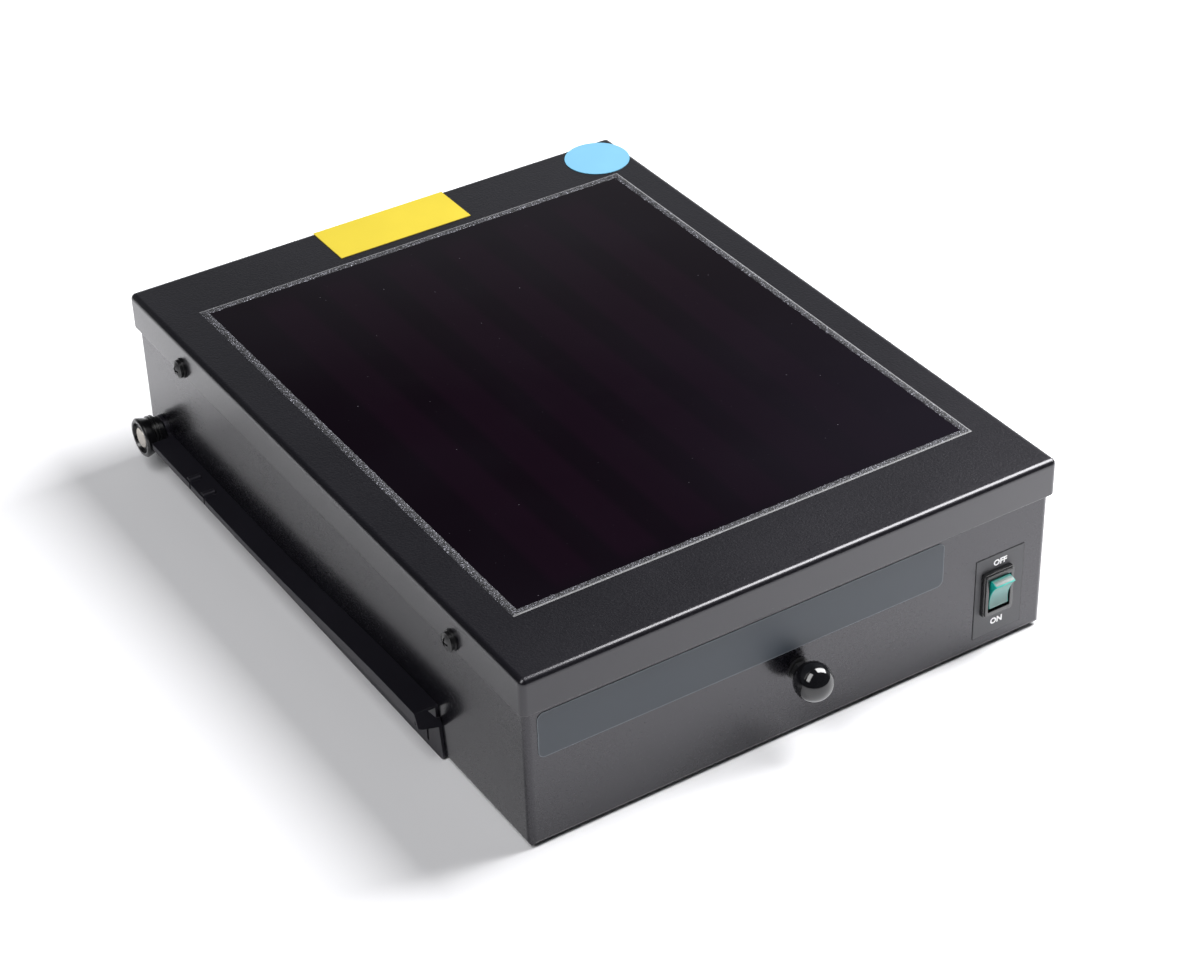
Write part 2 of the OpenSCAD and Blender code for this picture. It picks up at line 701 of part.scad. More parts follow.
band_r = 3;
band_x0 = -side_x + band_edge;
band_w = plate_x - band_gap - band_x0;
module name_band() color([0.25, 0.28, 0.31])
    translate([band_x0 + band_w / 2, front_y, band_z0 + band_h / 2])
        rotate([90, 0, 0]) linear_extrude(film_t) round_rect(band_w, band_h, band_r);

// Lamps

tray_side = 8;
tray_w = tube_n * tube_pitch + 2 * tray_side;
holder_y = tube_l / 2 + cap_gap;
tray_rim = 9;
pillar_af = 8;
pillar_in = 40;
pillar_thread = 10;
tray_screw_l = 8;
tray_head_h = 2;
pillar_x = tray_w / 2 - tray_side;
pillar_y = tray_l / 2 - pillar_in;
mask_in = 19.15;
mask_y = tube_l / 2 - mask_in;
mask_t = 0.8;
mask_gap = 1;
tube_xs = [for (i = [0 : tube_n - 1]) (i - (tube_n - 1) / 2) * tube_pitch];

module at_pillars() for (sx = [-1, 1], sy = [-1, 1])
    translate([sx * pillar_x, mid_y + sy * pillar_y, 0]) children();

module lamp_tray() color(steel) difference() {
    translate([-tray_w / 2, mid_y - tray_l / 2, tray_z]) difference() {
        cube([tray_w, tray_l, tray_rim + tray_t]);
        translate([tray_t, -e, tray_t]) cube([tray_w - 2 * tray_t, tray_l + 2 * e, tray_rim + e]);
    }
    at_pillars() translate([0, 0, tray_z - e]) cylinder(d = m3 + 2 * hole_gap, h = tray_t + 2 * e);
}

module tray_pillars() color([0.85, 0.75, 0.4]) at_pillars() difference() {
    translate([0, 0, floor_z]) cylinder(d = pillar_af / cos(30), h = tray_z - floor_z, $fn = 6);
    translate([0, 0, tray_z - pillar_thread]) cylinder(d = m3 + 2 * slack, h = pillar_thread + e);
}
module tray_screws() color(steel) at_pillars() translate([0, 0, tray_top])
    pan_screw(m3, m3_head, tray_head_h, tray_t + tray_screw_l);

// bright sheet: flat under each tube, ridged between the tubes, flared at the sides
reflector_t = 0.5;
flat = tube_pitch / 4;
refl_top = concat(
    [[-tube_pitch * tube_n / 2 + tray_t, tray_top + ridge_h + reflector_t]],
    [for (x = tube_xs) each [[x - flat, tray_top + reflector_t], [x + flat, tray_top + reflector_t],
        [x + tube_pitch / 2, tray_top + ridge_h + reflector_t]]]);
refl_last = len(refl_top) - 1;
refl_pts = [for (i = [0 : refl_last])
    i == refl_last ? [refl_top[i][0] - tray_t, refl_top[i][1]] : refl_top[i]];
module reflector() color([0.9, 0.9, 0.92])
    translate([0, mid_y + mask_y, 0]) rotate([90, 0, 0]) linear_extrude(2 * mask_y) polygon(concat(
        refl_pts, [for (i = [len(refl_pts) - 1 : -1 : 0]) [refl_pts[i][0], refl_pts[i][1] - reflector_t]]));

mask_drop = 2;
mask_top = carrier_z - mask_drop;
module end_masks() color(steel) for (s = [-1, 1])
    translate([0, mid_y + s * (mask_y + mask_t / 2) + mask_t / 2, 0]) rotate([90, 0, 0])
        linear_extrude(mask_t) difference() {
            translate([-tray_w / 2 + tray_t, tray_top]) square([tray_w - 2 * tray_t, mask_top - tray_top]);
            for (x = tube_xs) translate([x, tube_z]) circle(d = tube_d + 2 * mask_gap);
        }

// holders: open upright slots take the two pins of each cap
pin_d = 2.4;
pin_pitch = 5;
pin_l = 7;
holder_r = 9;
holder_foot = 2;
holder_foot_h = 3;
pin_room = 1.5;
module tube_holder() difference() {
    union() {
        linear_extrude(holder_t) {
            translate([-holder_r, tray_top - tube_z]) square([2 * holder_r, tube_z - tray_top]);
            circle(r = holder_r);
        }
        translate([-holder_r - holder_foot, tray_top - tube_z, 0])
            cube([2 * (holder_r + holder_foot), holder_foot_h, holder_t]);
    }
    translate([-pin_d / 2 - lay, 0, -e]) cube([pin_d + 2 * lay, 2 * holder_r, pin_l + pin_room + e]);
    translate([0, 0, -e]) linear_extrude(pin_l + pin_room + e) {
        translate([-pin_d / 2 - lay, -pin_pitch / 2]) square([pin_d + 2 * lay, pin_pitch]);
        translate([0, -pin_pitch / 2]) circle(d = pin_d + 2 * lay);
    }
}
module tube_holders_front() color([0.92, 0.92, 0.9])
    for (x = tube_xs) translate([x, mid_y - holder_y, tube_z]) rotate([90, 0, 0]) tube_holder();
module tube_holders_rear() color([0.92, 0.92, 0.9])
    for (x = tube_xs) translate([x, mid_y + holder_y, tube_z])
        mirror([0, 1, 0]) rotate([90, 0, 0]) tube_holder();

cap_l = 8;
tube_wall = 0.75;
tube_end = 1.5;
cap_wall = 0.4;
bulb_d = tube_d - 2 * (cap_wall + slack);
module uv_tubes() color([0.6, 0.6, 0.75, 0.8]) for (x = tube_xs) difference() {
    rod_y([x, mid_y - tube_l / 2 + tube_end, tube_z], bulb_d, tube_l - 2 * tube_end);
    rod_y([x, mid_y - tube_l / 2, tube_z], bulb_d - 2 * tube_wall, tube_l);
}
module tube_cap() {
    difference() {
        rod_y([0, -cap_l, 0], tube_d, cap_l);
        rod_y([0, -cap_l - e, 0], tube_d - 2 * cap_wall, cap_l);
    }
    for (s = [-1, 1]) rod_y([0, -0.01, s * pin_pitch / 2], pin_d, pin_l);
}
module tube_caps() color(steel) for (x = tube_xs) {
    translate([x, mid_y + tube_l / 2, tube_z]) tube_cap();
    translate([x, mid_y - tube_l / 2, tube_z]) mirror([0, 1, 0]) tube_cap();
}

// Electrics on the floor of the case

ballast_n = 3;
foot_l = 11;
foot_t = 2;
ballast_r = 3;
ballast_dy = -18;
ballast_y = mid_y + ballast_dy;
wire_d = 3;
wire_in = 4;
wire_pitch = 6;
module at_ballasts() for (i = [0 : ballast_n - 1])
    translate([(i - (ballast_n - 1) / 2) * ballast_pitch, ballast_y, floor_z]) children();
module at_ballast_studs() at_ballasts() for (s = [-1, 1])
    translate([0, s * (ballast_l / 2 + foot_l / 2), 0]) children();

module ballasts() color([0.88, 0.88, 0.86]) at_ballasts() difference() {
    union() {
        translate([0, ballast_l / 2, ballast_h]) rotate([90, 0, 0]) mirror([0, 1, 0])
            linear_extrude(ballast_l) trough(ballast_w, ballast_h, ballast_r);
        translate([-ballast_w / 2, -ballast_l / 2 - foot_l, 0])
            cube([ballast_w, ballast_l + 2 * foot_l, foot_t]);
    }
    for (s = [-1, 1]) translate([0, s * (ballast_l / 2 + foot_l / 2), -e])
        cylinder(d = m4 + 2 * hole_gap, h = foot_t + 2 * e);
    for (s = [-1, 1], k = [-2 : 2])
        rod_y([k * wire_pitch, s * ballast_l / 2 - wire_in, ballast_h / 2], wire_d, 2 * wire_in);
}
module ballast_studs() color(steel) at_ballast_studs() cylinder(d = m4, h = foot_t + m4_nut + past);
module ballast_nuts() color(steel) at_ballast_studs() translate([0, 0, foot_t]) nut(m4, m4_af, m4_nut);

loom_d = 4;
loom_up = loom_d / 2 + lay;
block_n = 6;
block_pitch = 9;
block_rim = 2;
block_w = block_n * block_pitch + 2 * block_rim;
block_l = 20;
block_h = 8;
block_x = -30;
block_back = 59.7;
block_y = rear_y - block_back;
turret_w = 7.2;
turret_l = 15;
turret_h = 6;
clamp_y = 4;
clamp_in = 2;
clamp_screw_h = 5;
poles = [for (i = [0 : block_n - 1]) (i - (block_n - 1) / 2) * block_pitch];
module terminal_block() color([0.92, 0.92, 0.88]) translate([block_x, block_y, floor_z]) difference() {
    union() {
        translate([-block_w / 2, -block_l / 2, 0]) cube([block_w, block_l, block_h]);
        for (x = poles)
            translate([x - turret_w / 2, -turret_l / 2, block_h - 0.01]) cube([turret_w, turret_l, turret_h]);
    }
    for (x = poles, s = [-1, 1]) {
        translate([x, s * clamp_y, block_h - clamp_in]) cylinder(d = m4, h = clamp_in + turret_h + e);
        rod_y([x, s * block_l / 2 - clamp_in, loom_up], wire_d + 2 * hole_gap, 2 * clamp_in);
    }
}
module terminal_screws() color(steel) translate([block_x, block_y, floor_z]) for (x = poles, s = [-1, 1])
    translate([x, s * clamp_y, block_h - clamp_in]) cylinder(d = m4 - 2 * slack, h = clamp_screw_h);

// Mains inlet: a flanged socket above a fuse drawer

socket_w = 24.4;
socket_h = 16.2;
socket_depth = 17;
inlet_depth = 24;
socket_up = 5;
socket_cut = 6;
socket_cz = inlet_cz + socket_up;
inlet_r = 3;
drawer_w = 22;
drawer_h = 6.4;
drawer_l = 20;
drawer_down = 9.3;
drawer_cz = inlet_cz - drawer_down;
inlet_face = rear_y + inlet_t;
blade_w = 2;
blade_l = 13;
blade_h = 4;
blade_x = 7;
blade_z = 2;
inlet_head_h = 0.9;

module inlet_plug_2d() {
    difference() {
        square([socket_w, socket_h], center = true);
        for (s = [-1, 1]) translate([s * socket_w / 2, socket_h / 2])
            rotate(45) square(socket_cut, center = true);
    }
}

module mains_inlet() color(plastic) difference() {
    union() {
        translate([inlet_x, rear_y + inlet_t, inlet_cz]) rotate([90, 0, 0])
            linear_extrude(inlet_t) round_rect(inlet_w, inlet_h, inlet_r);
        translate([inlet_x - inlet_hole_w / 2 + lay, rear_y - inlet_depth + 0.01,
            inlet_cz - inlet_hole_h / 2 + lay])
            cube([inlet_hole_w - 2 * lay, inlet_depth, inlet_hole_h - 2 * lay]);
    }
    translate([inlet_x, inlet_face + e, socket_cz]) rotate([90, 0, 0])
        linear_extrude(socket_depth + e) inlet_plug_2d();
    translate([inlet_x - drawer_w / 2 - lay, inlet_face - drawer_l - lay, drawer_cz - drawer_h / 2 - lay])
        cube([drawer_w + 2 * lay, drawer_l + lay + e, drawer_h + 2 * lay]);
    for (s = [-1, 1])
        rod_y([inlet_x + s * inlet_screw_x, rear_y - e, inlet_cz], m3 + 2 * hole_gap, inlet_t + 2 * e);
}

module inlet_pins() color([0.85, 0.75, 0.4])
    for (p = [[-blade_x, -blade_z], [blade_x, -blade_z], [0, blade_z]])
        translate([inlet_x + p[0] - blade_w / 2, inlet_face - socket_depth, socket_cz + p[1] - blade_h / 2])
            cube([blade_w, blade_l, blade_h]);

module at_inlet_screws() for (s = [-1, 1])
    translate([inlet_x + s * inlet_screw_x, inlet_face, inlet_cz]) rotate([-90, 0, 0]) children();
module inlet_screws() color(steel) at_inlet_screws()
    pan_screw(m3, m3_head, inlet_head_h, inlet_t + sheet + m3_nut + past);
module inlet_nuts() color(steel) at_inlet_screws() translate([0, 0, -inlet_t - sheet - m3_nut])
    nut(m3, m3_af, m3_nut);

// the fuse lies in a trough of the drawer, which has a thumb notch under its grip
fuse_d = 5;
fuse_l = 20;
fuse_in = 2;
fuse_lift = 0.1;
thumb_w = 6;
thumb_h = 2;
module fuse_drawer() color(plastic) translate([inlet_x, inlet_face, drawer_cz]) difference() {
    translate([-drawer_w / 2, -drawer_l, -drawer_h / 2]) cube([drawer_w, drawer_l + grip_t, drawer_h]);
    translate([-fuse_l / 2 - lay, fuse_in - drawer_l, drawer_h / 2 - fuse_d - fuse_lift])
        cube([fuse_l + 2 * lay, fuse_d + 2 * lay, 2 * fuse_d]);
    translate([-thumb_w / 2, grip_t / 2, -drawer_h / 2 - e]) cube([thumb_w, grip_t, thumb_h + e]);
}
module fuse() color([0.8, 0.82, 0.85])
    rod_x([inlet_x - fuse_l / 2, inlet_face - drawer_l + fuse_in + lay + fuse_d / 2,
        drawer_cz + drawer_h / 2 - fuse_d / 2 - fuse_lift], fuse_d, fuse_l);

earth_side = 36;
earth_in = 22;
earth_l = 14;
tag_room = 1.2;
earth_x = inlet_x - earth_side;
earth_y = rear_y - earth_in;
module earth_stud() color(steel) rod_z([earth_x, earth_y, floor_z], m4, earth_l);
module earth_nuts() color([0.85, 0.75, 0.4]) for (k = [0, 1])
    translate([earth_x, earth_y, floor_z + k * (m4_nut + tag_room)]) nut(m4, m4_af, m4_nut);

// Wiring: an eight-sided tube swept along rounded routes

function unit(v) = v / norm(v);
function lane(p, i) = i == 0 ? unit(p[1] - p[0])
    : i == len(p) - 1 ? unit(p[i] - p[i - 1]) : unit(unit(p[i] - p[i - 1]) + unit(p[i + 1] - p[i]));
function side_of(t) = unit(cross(abs(t[2]) > 0.8 ? [1, 0, 0] : [0, 0, 1], t));
// each inner corner becomes two points, a bend's radius away
function soften(p, r) = [for (i = [0 : len(p) - 1]) each
    i == 0 || i == len(p) - 1 ? [p[i]]
    : [p[i] + unit(p[i - 1] - p[i]) * r, p[i] + unit(p[i + 1] - p[i]) * r]];
module loom(route, d, r) {
    p = soften(route, r);
    n = 8;
    rings = [for (i = [0 : len(p) - 1]) let (t = lane(p, i), u = side_of(t), v = cross(t, u))
        each [for (k = [0 : n - 1]) p[i] + d / 2 * (cos(45 * k) * u + sin(45 * k) * v)]];
    sides = [for (i = [0 : len(p) - 2], k = [0 : n - 1])
        [(i + 1) * n + k, (i + 1) * n + (k + 1) % n, i * n + (k + 1) % n, i * n + k]];
    last = (len(p) - 1) * n;
    polyhedron(rings, concat(sides, [[for (k = [0 : n - 1]) k]], [[for (k = [n - 1 : -1 : 0]) last + k]]));
}

run_z0 = floor_z + loom_up;
inlet_back = rear_y - inlet_depth - lay;
loom_r = 3;
tail_r = 1.2;
loom_reach = 8;
tail_down = 6;
lamp_reach = 16;
edge_room = 12;
under_tray = 4;
mains_pole = block_x + poles[block_n - 1];
switch_pole = block_x + poles[block_n - 2];
lamp_pole = block_x + poles[1];
block_rear = block_y + block_l / 2 + lay;
block_front = block_y - block_l / 2 - lay;
mains_turn = inlet_back - loom_reach;
switch_turn = tag_y + tag_l + loom_reach;
lamp_turn = block_rear + lamp_reach;
tail_y = mid_y - holder_y;
lamp_x = -(pillar_x + pillar_af / 2 + side_x - sheet) / 2;
tail_x = -tray_w / 2 + edge_room;
module mains_loom() color([0.3, 0.3, 0.32])
    loom([[inlet_x, inlet_back, inlet_cz - tail_down], [inlet_x, mains_turn, inlet_cz - tail_down],
        [inlet_x, mains_turn, run_z0], [mains_pole, mains_turn, run_z0],
        [mains_pole, block_rear, run_z0]], loom_d, loom_r);
module switch_loom() color([0.3, 0.3, 0.32])
    loom([[switch_x, tag_y + tag_l + lay, switch_cz], [switch_x, switch_turn, switch_cz],
        [switch_x, switch_turn, run_z0], [switch_x, block_front - loom_reach, run_z0],
        [switch_pole, block_front - loom_reach, run_z0], [switch_pole, block_front, run_z0]], loom_d, loom_r);
module lamp_loom() color([0.75, 0.75, 0.72])
    loom([[lamp_pole, block_rear, run_z0], [lamp_pole, lamp_turn, run_z0], [lamp_x, lamp_turn, run_z0],
        [lamp_x, tail_y, run_z0], [lamp_x, tail_y, tray_z - under_tray],
        [tail_x, tail_y, tray_z - under_tray], [tail_x, tail_y, tray_z - lay]], loom_d, tail_r);

case_shell();
lid_shell();
filter_glass();
filter_seal();
glass_carrier();
carrier_gasket();
carrier_studs();
carrier_nuts();
lid_screws();
lid_washers();
lid_nuts();
slide_rail_left();
slide_rail_right();
rail_screws();
rail_nuts();
roller_left();
roller_right();
roller_rivets();
knob();
knob_stud();
knob_washers();
knob_nuts();
switch_frame();
switch_rocker();
switch_terminals();
switch_plate();
name_band();
yellow_label();
blue_disc();
lamp_tray();
tray_pillars();
tray_screws();
reflector();
end_masks();
tube_holders_front();
tube_holders_rear();
uv_tubes();
tube_caps();
ballasts();
ballast_studs();
ballast_nuts();
terminal_block();
terminal_screws();
mains_inlet();
inlet_pins();
inlet_screws();
inlet_nuts();
fuse_drawer();
fuse();
earth_stud();
earth_nuts();
mains_loom();
switch_loom();
lamp_loom();
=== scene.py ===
"""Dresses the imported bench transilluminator: its finishes, its finer pieces and the studio round it."""
import math

import bmesh
import bpy
import numpy as np
from bpy.props import FloatProperty, FloatVectorProperty, IntProperty, PointerProperty
from mathutils import Matrix, Vector


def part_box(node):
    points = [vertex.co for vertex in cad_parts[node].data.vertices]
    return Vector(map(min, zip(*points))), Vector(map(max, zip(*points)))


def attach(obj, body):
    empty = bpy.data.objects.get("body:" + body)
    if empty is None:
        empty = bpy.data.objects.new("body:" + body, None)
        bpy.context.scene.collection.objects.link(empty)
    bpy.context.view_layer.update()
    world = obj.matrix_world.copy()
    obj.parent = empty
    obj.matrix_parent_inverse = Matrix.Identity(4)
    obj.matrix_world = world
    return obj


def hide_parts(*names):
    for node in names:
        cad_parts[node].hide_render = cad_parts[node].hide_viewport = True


bl_info = {
    "name": "Bench transilluminator",
    "version": (1, 0, 0),
    "blender": (4, 5, 0),
    "location": "View3D > Sidebar > Transilluminator",
    "description": "Finishes and fine pieces for a bench transilluminator, around its packed frame",
    "category": "Object",
}

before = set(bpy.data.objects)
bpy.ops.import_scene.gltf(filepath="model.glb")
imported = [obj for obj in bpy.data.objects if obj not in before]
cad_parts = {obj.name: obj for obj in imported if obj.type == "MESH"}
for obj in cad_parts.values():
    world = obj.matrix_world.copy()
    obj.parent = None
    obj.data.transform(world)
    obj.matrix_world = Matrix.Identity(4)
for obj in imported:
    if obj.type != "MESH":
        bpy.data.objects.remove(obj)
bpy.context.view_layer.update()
MM = 0.001
ROCKER_FACE = 2.3 * MM  # from the rocker's axis forward to the ridge of its face
TUBES = 6
SEAL_LUMPS = ((1.3, 0.12), (2.3, 0.09), (5.5, 0.06), (17.0, 0.04))  # wavelength in mm, share of the height
WORDS = {"OFF": (99.4 * MM, 40.9 * MM), "ON": (99.2 * MM, 11.5 * MM)}  # x and z of each word's foot
SOFTBOXES = (  # name, place, aim, width and height, watts
    ("right_box", (0.70, -0.08, 0.84), (0, -0.05, 0), (0.62, 0.92), 30),
    ("left_box", (-1.5, -0.52, 2.15), (0, 0, 0), (0.95, 2.2), 46),
)
GLOW_WAY = (0.6, 0.8, 0)  # the pale backdrop is in this direction
GLOW_ROUND = (0.3, 0.8, 0.02, 0.67)  # its strength against the likeness of a direction to GLOW_WAY
GLOW_HEIGHT = (0.28, 0.545, 1.0, 0.0)  # its share against the sine of the elevation
GLOW_FLOOR = 0.02


def corners(node):
    """The lowest and highest corner of a CAD node as two arrays, in metres."""
    low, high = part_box(node)
    return np.array(low), np.array(high)


# ---- Shader maths -------------------------------------------------------------------------

class Value:
    """A socket of a finish. An expression on it adds the Math nodes that work it out."""

    def __init__(self, finish, socket):
        self.finish = finish
        self.socket = socket

    def math(self, operation, *terms):
        return self.finish.node("ShaderNodeMath", {"operation": operation}, terms)

    def __add__(self, other):
        return self.math("ADD", self, other)

    def __sub__(self, other):
        return self.math("SUBTRACT", self, other)

    def __rsub__(self, other):
        return self.math("SUBTRACT", other, self)

    def __mul__(self, other):
        return self.math("MULTIPLY", self, other)

    def __pow__(self, other):
        return self.math("POWER", self, other)

    def __abs__(self):
        return self.math("ABSOLUTE", self)

    __radd__ = __add__
    __rmul__ = __mul__

    def least(self, other):
        return self.math("MINIMUM", self, other)

    def most(self, other):
        return self.math("MAXIMUM", self, other)

    def ramp(self, start, end, low=0.0, high=1.0):
        """This value carried smoothly from start..end to low..high, and held outside."""
        settings = {"interpolation_type": "SMOOTHSTEP"}
        return self.finish.node("ShaderNodeMapRange", settings, [self, start, end, low, high])


class Finish:
    """A material under construction."""

    def __init__(self, name):
        self.material = bpy.data.materials.new(name)
        self.material.use_nodes = True
        self.tree = self.material.node_tree
        self.tree.nodes.clear()
        self.place = self.node("ShaderNodeTexCoord", {}, [], "Object")

    def node(self, kind, settings, inputs, output=0):
        """Adds a node, sets its settings, then its sockets from a list in order or a dict by name."""
        made = self.tree.nodes.new(kind)
        for key, setting in settings.items():
            setattr(made, key, setting)
        pairs = inputs.items() if isinstance(inputs, dict) else enumerate(inputs)
        for key, value in pairs:
            if isinstance(value, Value):
                self.tree.links.new(value.socket, made.inputs[key])
            elif value is not None:
                made.inputs[key].default_value = value
        return Value(self, made.outputs[output])

    def axes(self):
        """The three object coordinates, in metres."""
        made = self.tree.nodes.new("ShaderNodeSeparateXYZ")
        self.tree.links.new(self.place.socket, made.inputs[0])
        return [Value(self, socket) for socket in made.outputs]

    def noise(self, size, detail=2.0, roughness=0.5, stretch=(1, 1, 1)):
        """Soft noise whose blotches are about size metres across."""
        at = self.place
        if stretch != (1, 1, 1):
            at = self.node("ShaderNodeMapping", {}, {"Vector": at, "Scale": stretch})
        inputs = {"Vector": at, "Scale": 1 / size, "Detail": detail, "Roughness": roughness}
        return self.node("ShaderNodeTexNoise", {}, inputs, "Fac")

    def cells(self, size):
        """Distance to the nearest of scattered points, size metres apart, in cell widths."""
        inputs = {"Vector": self.place, "Scale": 1 / size}
        return self.node("ShaderNodeTexVoronoi", {}, inputs, "Distance")

    def blend(self, share, first, second):
        """A colour between two, by a share from 0 to 1."""
        made = self.tree.nodes.new("ShaderNodeMix")
        made.data_type = "RGBA"
        for socket, value in ((made.inputs[0], share), (made.inputs[6], first), (made.inputs[7], second)):
            if isinstance(value, Value):
                self.tree.links.new(value.socket, socket)
            else:
                socket.default_value = (*value, 1)
        return Value(self, made.outputs[2])

    def relief(self, height, depth, strength=1.0, edge=0.0):
        """A surface normal from a height of 0 to 1 that stands for depth metres, with softened edges."""
        inputs = {"Height": height, "Distance": depth, "Strength": strength}
        if edge:
            inputs["Normal"] = self.node("ShaderNodeBevel", {"samples": 4}, [edge])
        return self.node("ShaderNodeBump", {}, inputs)

    def close(self, **sockets):
        """Ends the finish with a Principled shader. Socket names are given with underscores."""
        named = {key.replace("_", " "): value for key, value in sockets.items()}
        for key, value in named.items():
            if isinstance(value, tuple) and len(value) == 3 and key != "Subsurface Radius":
                named[key] = (*value, 1)
        shader = self.node("ShaderNodeBsdfPrincipled", {}, named)
        end = self.tree.nodes.new("ShaderNodeOutputMaterial")
        self.tree.links.new(shader.socket, end.inputs["Surface"])
        return self.material


# ---- Finishes -----------------------------------------------------------------------------

def powder_coat(name, colour, grain, depth, gloss, film, shine=0.5, level=None):
    """Powder coat: a fine pebbled skin with clouded colour and gloss, and a little dust.

    With a level the skin is pebbled at that height only, and nearly smooth on the folds below it."""
    coat = Finish(name)
    pebbles = coat.noise(grain, 3.0, 0.55)
    cloud = coat.noise(45 * MM, 3.0, 0.5)
    dust = coat.cells(7 * MM).ramp(0.05, 0.02) * coat.noise(12 * MM).ramp(0.5, 0.62)
    shade = coat.blend(cloud, tuple(c * 0.8 for c in colour), tuple(c * 1.25 for c in colour))
    shade = coat.blend(dust * 0.08, shade, (0.35, 0.35, 0.36))
    skin = pebbles - 0.5
    rough = gloss + (cloud - 0.5) * 0.08 + skin * 0.12 + dust * 0.08
    if level is not None:
        skin = skin * coat.axes()[2].ramp(level - 0.4 * MM, level - 0.1 * MM, 0.1, 1.0)
    return coat.close(Base_Color=shade, Roughness=rough, Specular_IOR_Level=shine,
                      Specular_Tint=(0.93, 0.90, 1.0), Coat_Weight=film, Coat_Roughness=0.16,
                      Normal=coat.relief(skin, depth, 1.0, 0.35 * MM))


def dark_filter(name, glow):
    """The filter glass: near black, with faint bands painted in as the lamps seen through it (at the share
    glow), a pale veil painted as a reflection, and some dust.
    """
    glass = Finish(name)
    x, y, _ = glass.axes()
    tubes = tube_places()
    nearest = abs(x - tubes[0])
    for place in tubes[1:]:
        nearest = nearest.least(abs(x - place))
    # Painted light: the tubes behind the glass are painted into its colour as faint magenta bands, near
    # each tube's x and within this span along y.
    low, high = corners("end_masks")
    painted_lamp_span = y.ramp(low[1] - 4 * MM, low[1] + 8 * MM) * y.ramp(high[1] + 4 * MM, high[1] - 14 * MM)
    patch = glass.noise(30 * MM, 3.0, 0.6, (1.0, 0.35, 1.0))
    painted_lamp_bands = nearest.ramp(11 * MM, 6 * MM) * painted_lamp_span * (0.45 + 0.55 * patch)
    grey = glass.noise(80 * MM, 2.0).ramp(0.35, 0.75)
    shade = glass.blend(grey, (0.0024, 0.0012, 0.0026), (0.0032, 0.0020, 0.0037))
    shade = glass.blend(painted_lamp_bands * glow, shade, (0.0068, 0.0018, 0.0058))
    # Painted reflection: a pale veil that brightens the glass towards its front right.
    painted_veil_reflection = x.ramp(-60 * MM, 110 * MM) * y.ramp(60 * MM, -130 * MM)
    shade = glass.blend(painted_veil_reflection * 0.85, shade, (0.0072, 0.0060, 0.0090))
    specks = glass.cells(5.5 * MM).ramp(0.055, 0.02) * glass.noise(9 * MM).ramp(0.52, 0.6)
    lint = glass.cells(2.3 * MM).ramp(0.06, 0.02) * glass.noise(20 * MM).ramp(0.55, 0.7)
    spots = (specks + lint * 0.5).least(1.0)
    shade = glass.blend(spots * 0.35, shade, (0.22, 0.20, 0.24))
    haze = glass.noise(25 * MM, 4.0).ramp(0.4, 0.8)
    return glass.close(Base_Color=shade, Roughness=0.035 + 0.05 * haze + 0.3 * spots, IOR=1.5,
                       Specular_IOR_Level=0.5)


def tube_places():
    """The x places of the tubes, spread evenly over the box that holds them."""
    low, high = corners("uv_tubes")
    bulb = high[2] - low[2]
    return [float(v) for v in np.linspace(low[0] + bulb / 2, high[0] - bulb / 2, TUBES)]


def rough_silicone(name, colour):
    """Grey silicone that dried with a broken, speckled skin, with a pale line painted along its outer edge
    as a highlight.
    """
    rubber = Finish(name)
    low, high = corners("filter_seal")
    x, y, _ = rubber.axes()
    middle, half = float(low[1] + high[1]) / 2, float(high[1] - low[1]) / 2
    inset = (float(high[0]) - abs(x)).least(half - abs(y - middle))
    crumbs = rubber.noise(0.6 * MM, 3.0, 0.65)
    pits = rubber.cells(1.1 * MM)
    mottle = rubber.noise(2.2 * MM, 2.0).ramp(0.35, 0.65)
    shade = rubber.blend(mottle, tuple(c * 0.25 for c in colour), colour)
    shade = rubber.blend(crumbs.ramp(0.585, 0.63), shade, tuple(min(1.0, c * 13) for c in colour))
    # Painted highlight: a pale line along the bead's outer edge.
    shade = rubber.blend(inset.ramp(0.9 * MM, 0.35 * MM) * 0.7, shade, (0.22, 0.22, 0.225))
    height = crumbs * 0.7 + pits.ramp(0.0, 0.5) * 0.5
    return rubber.close(Base_Color=shade, Roughness=0.55 + 0.25 * mottle, Specular_IOR_Level=0.34,
                        Normal=rubber.relief(height, 0.25 * MM, 0.9))


def plain_film(name, colour, painted_edge_colour, node, radius, rim, rough=0.42):
    """A printed film without its print: an even colour, a line along its edge painted paler as a highlight
    on some films and darker as shade on others, and faint lifted patches.
    """
    film = Finish(name)
    low, high = corners(node)
    flat = int(np.argmin(high - low))
    spans = [axis for axis in range(3) if axis != flat]
    at = film.axes()
    offsets = []
    for axis in spans:
        middle = float(low[axis] + high[axis]) / 2
        half = float(high[axis] - low[axis]) / 2 - radius
        offsets.append((abs(at[axis] - middle) - half).most(0.0))
    reach = (offsets[0] * offsets[0] + offsets[1] * offsets[1]) ** 0.5
    # A thin line along the edge in the painted edge colour: paler is painted highlight, darker is painted
    # shade.
    painted_edge = reach.ramp(radius - rim, radius - 0.35 * rim)
    cloud = film.noise(18 * MM, 3.0)
    shade = film.blend(cloud, tuple(c * 0.93 for c in colour), tuple(min(1.0, c * 1.05) for c in colour))
    shade = film.blend(painted_edge, shade, painted_edge_colour)
    ripple = film.noise(26 * MM, 1.0) * 0.8 + film.noise(0.5 * MM) * 0.05
    return film.close(Base_Color=shade, Roughness=rough + 0.08 * cloud, Specular_IOR_Level=0.45,
                      Normal=film.relief(ripple, 0.12 * MM, 0.7))


def moulded(name, colour, rough, texture=0.25, edge=0.2, clear=0.0):
    """Moulded plastic or rubber: a soft sheen, faint flow marks, rounded edges."""
    plastic = Finish(name)
    grain = plastic.noise(texture * MM, 2.0)
    flow = plastic.noise(9 * MM, 3.0)
    shade = plastic.blend(flow, tuple(c * 0.88 for c in colour), tuple(min(1.0, c * 1.12) for c in colour))
    return plastic.close(Base_Color=shade, Roughness=rough + 0.1 * (flow - 0.5), Coat_Weight=clear,
                         Coat_Roughness=0.06, Normal=plastic.relief(grain, 0.012 * MM, 0.6, edge * MM))


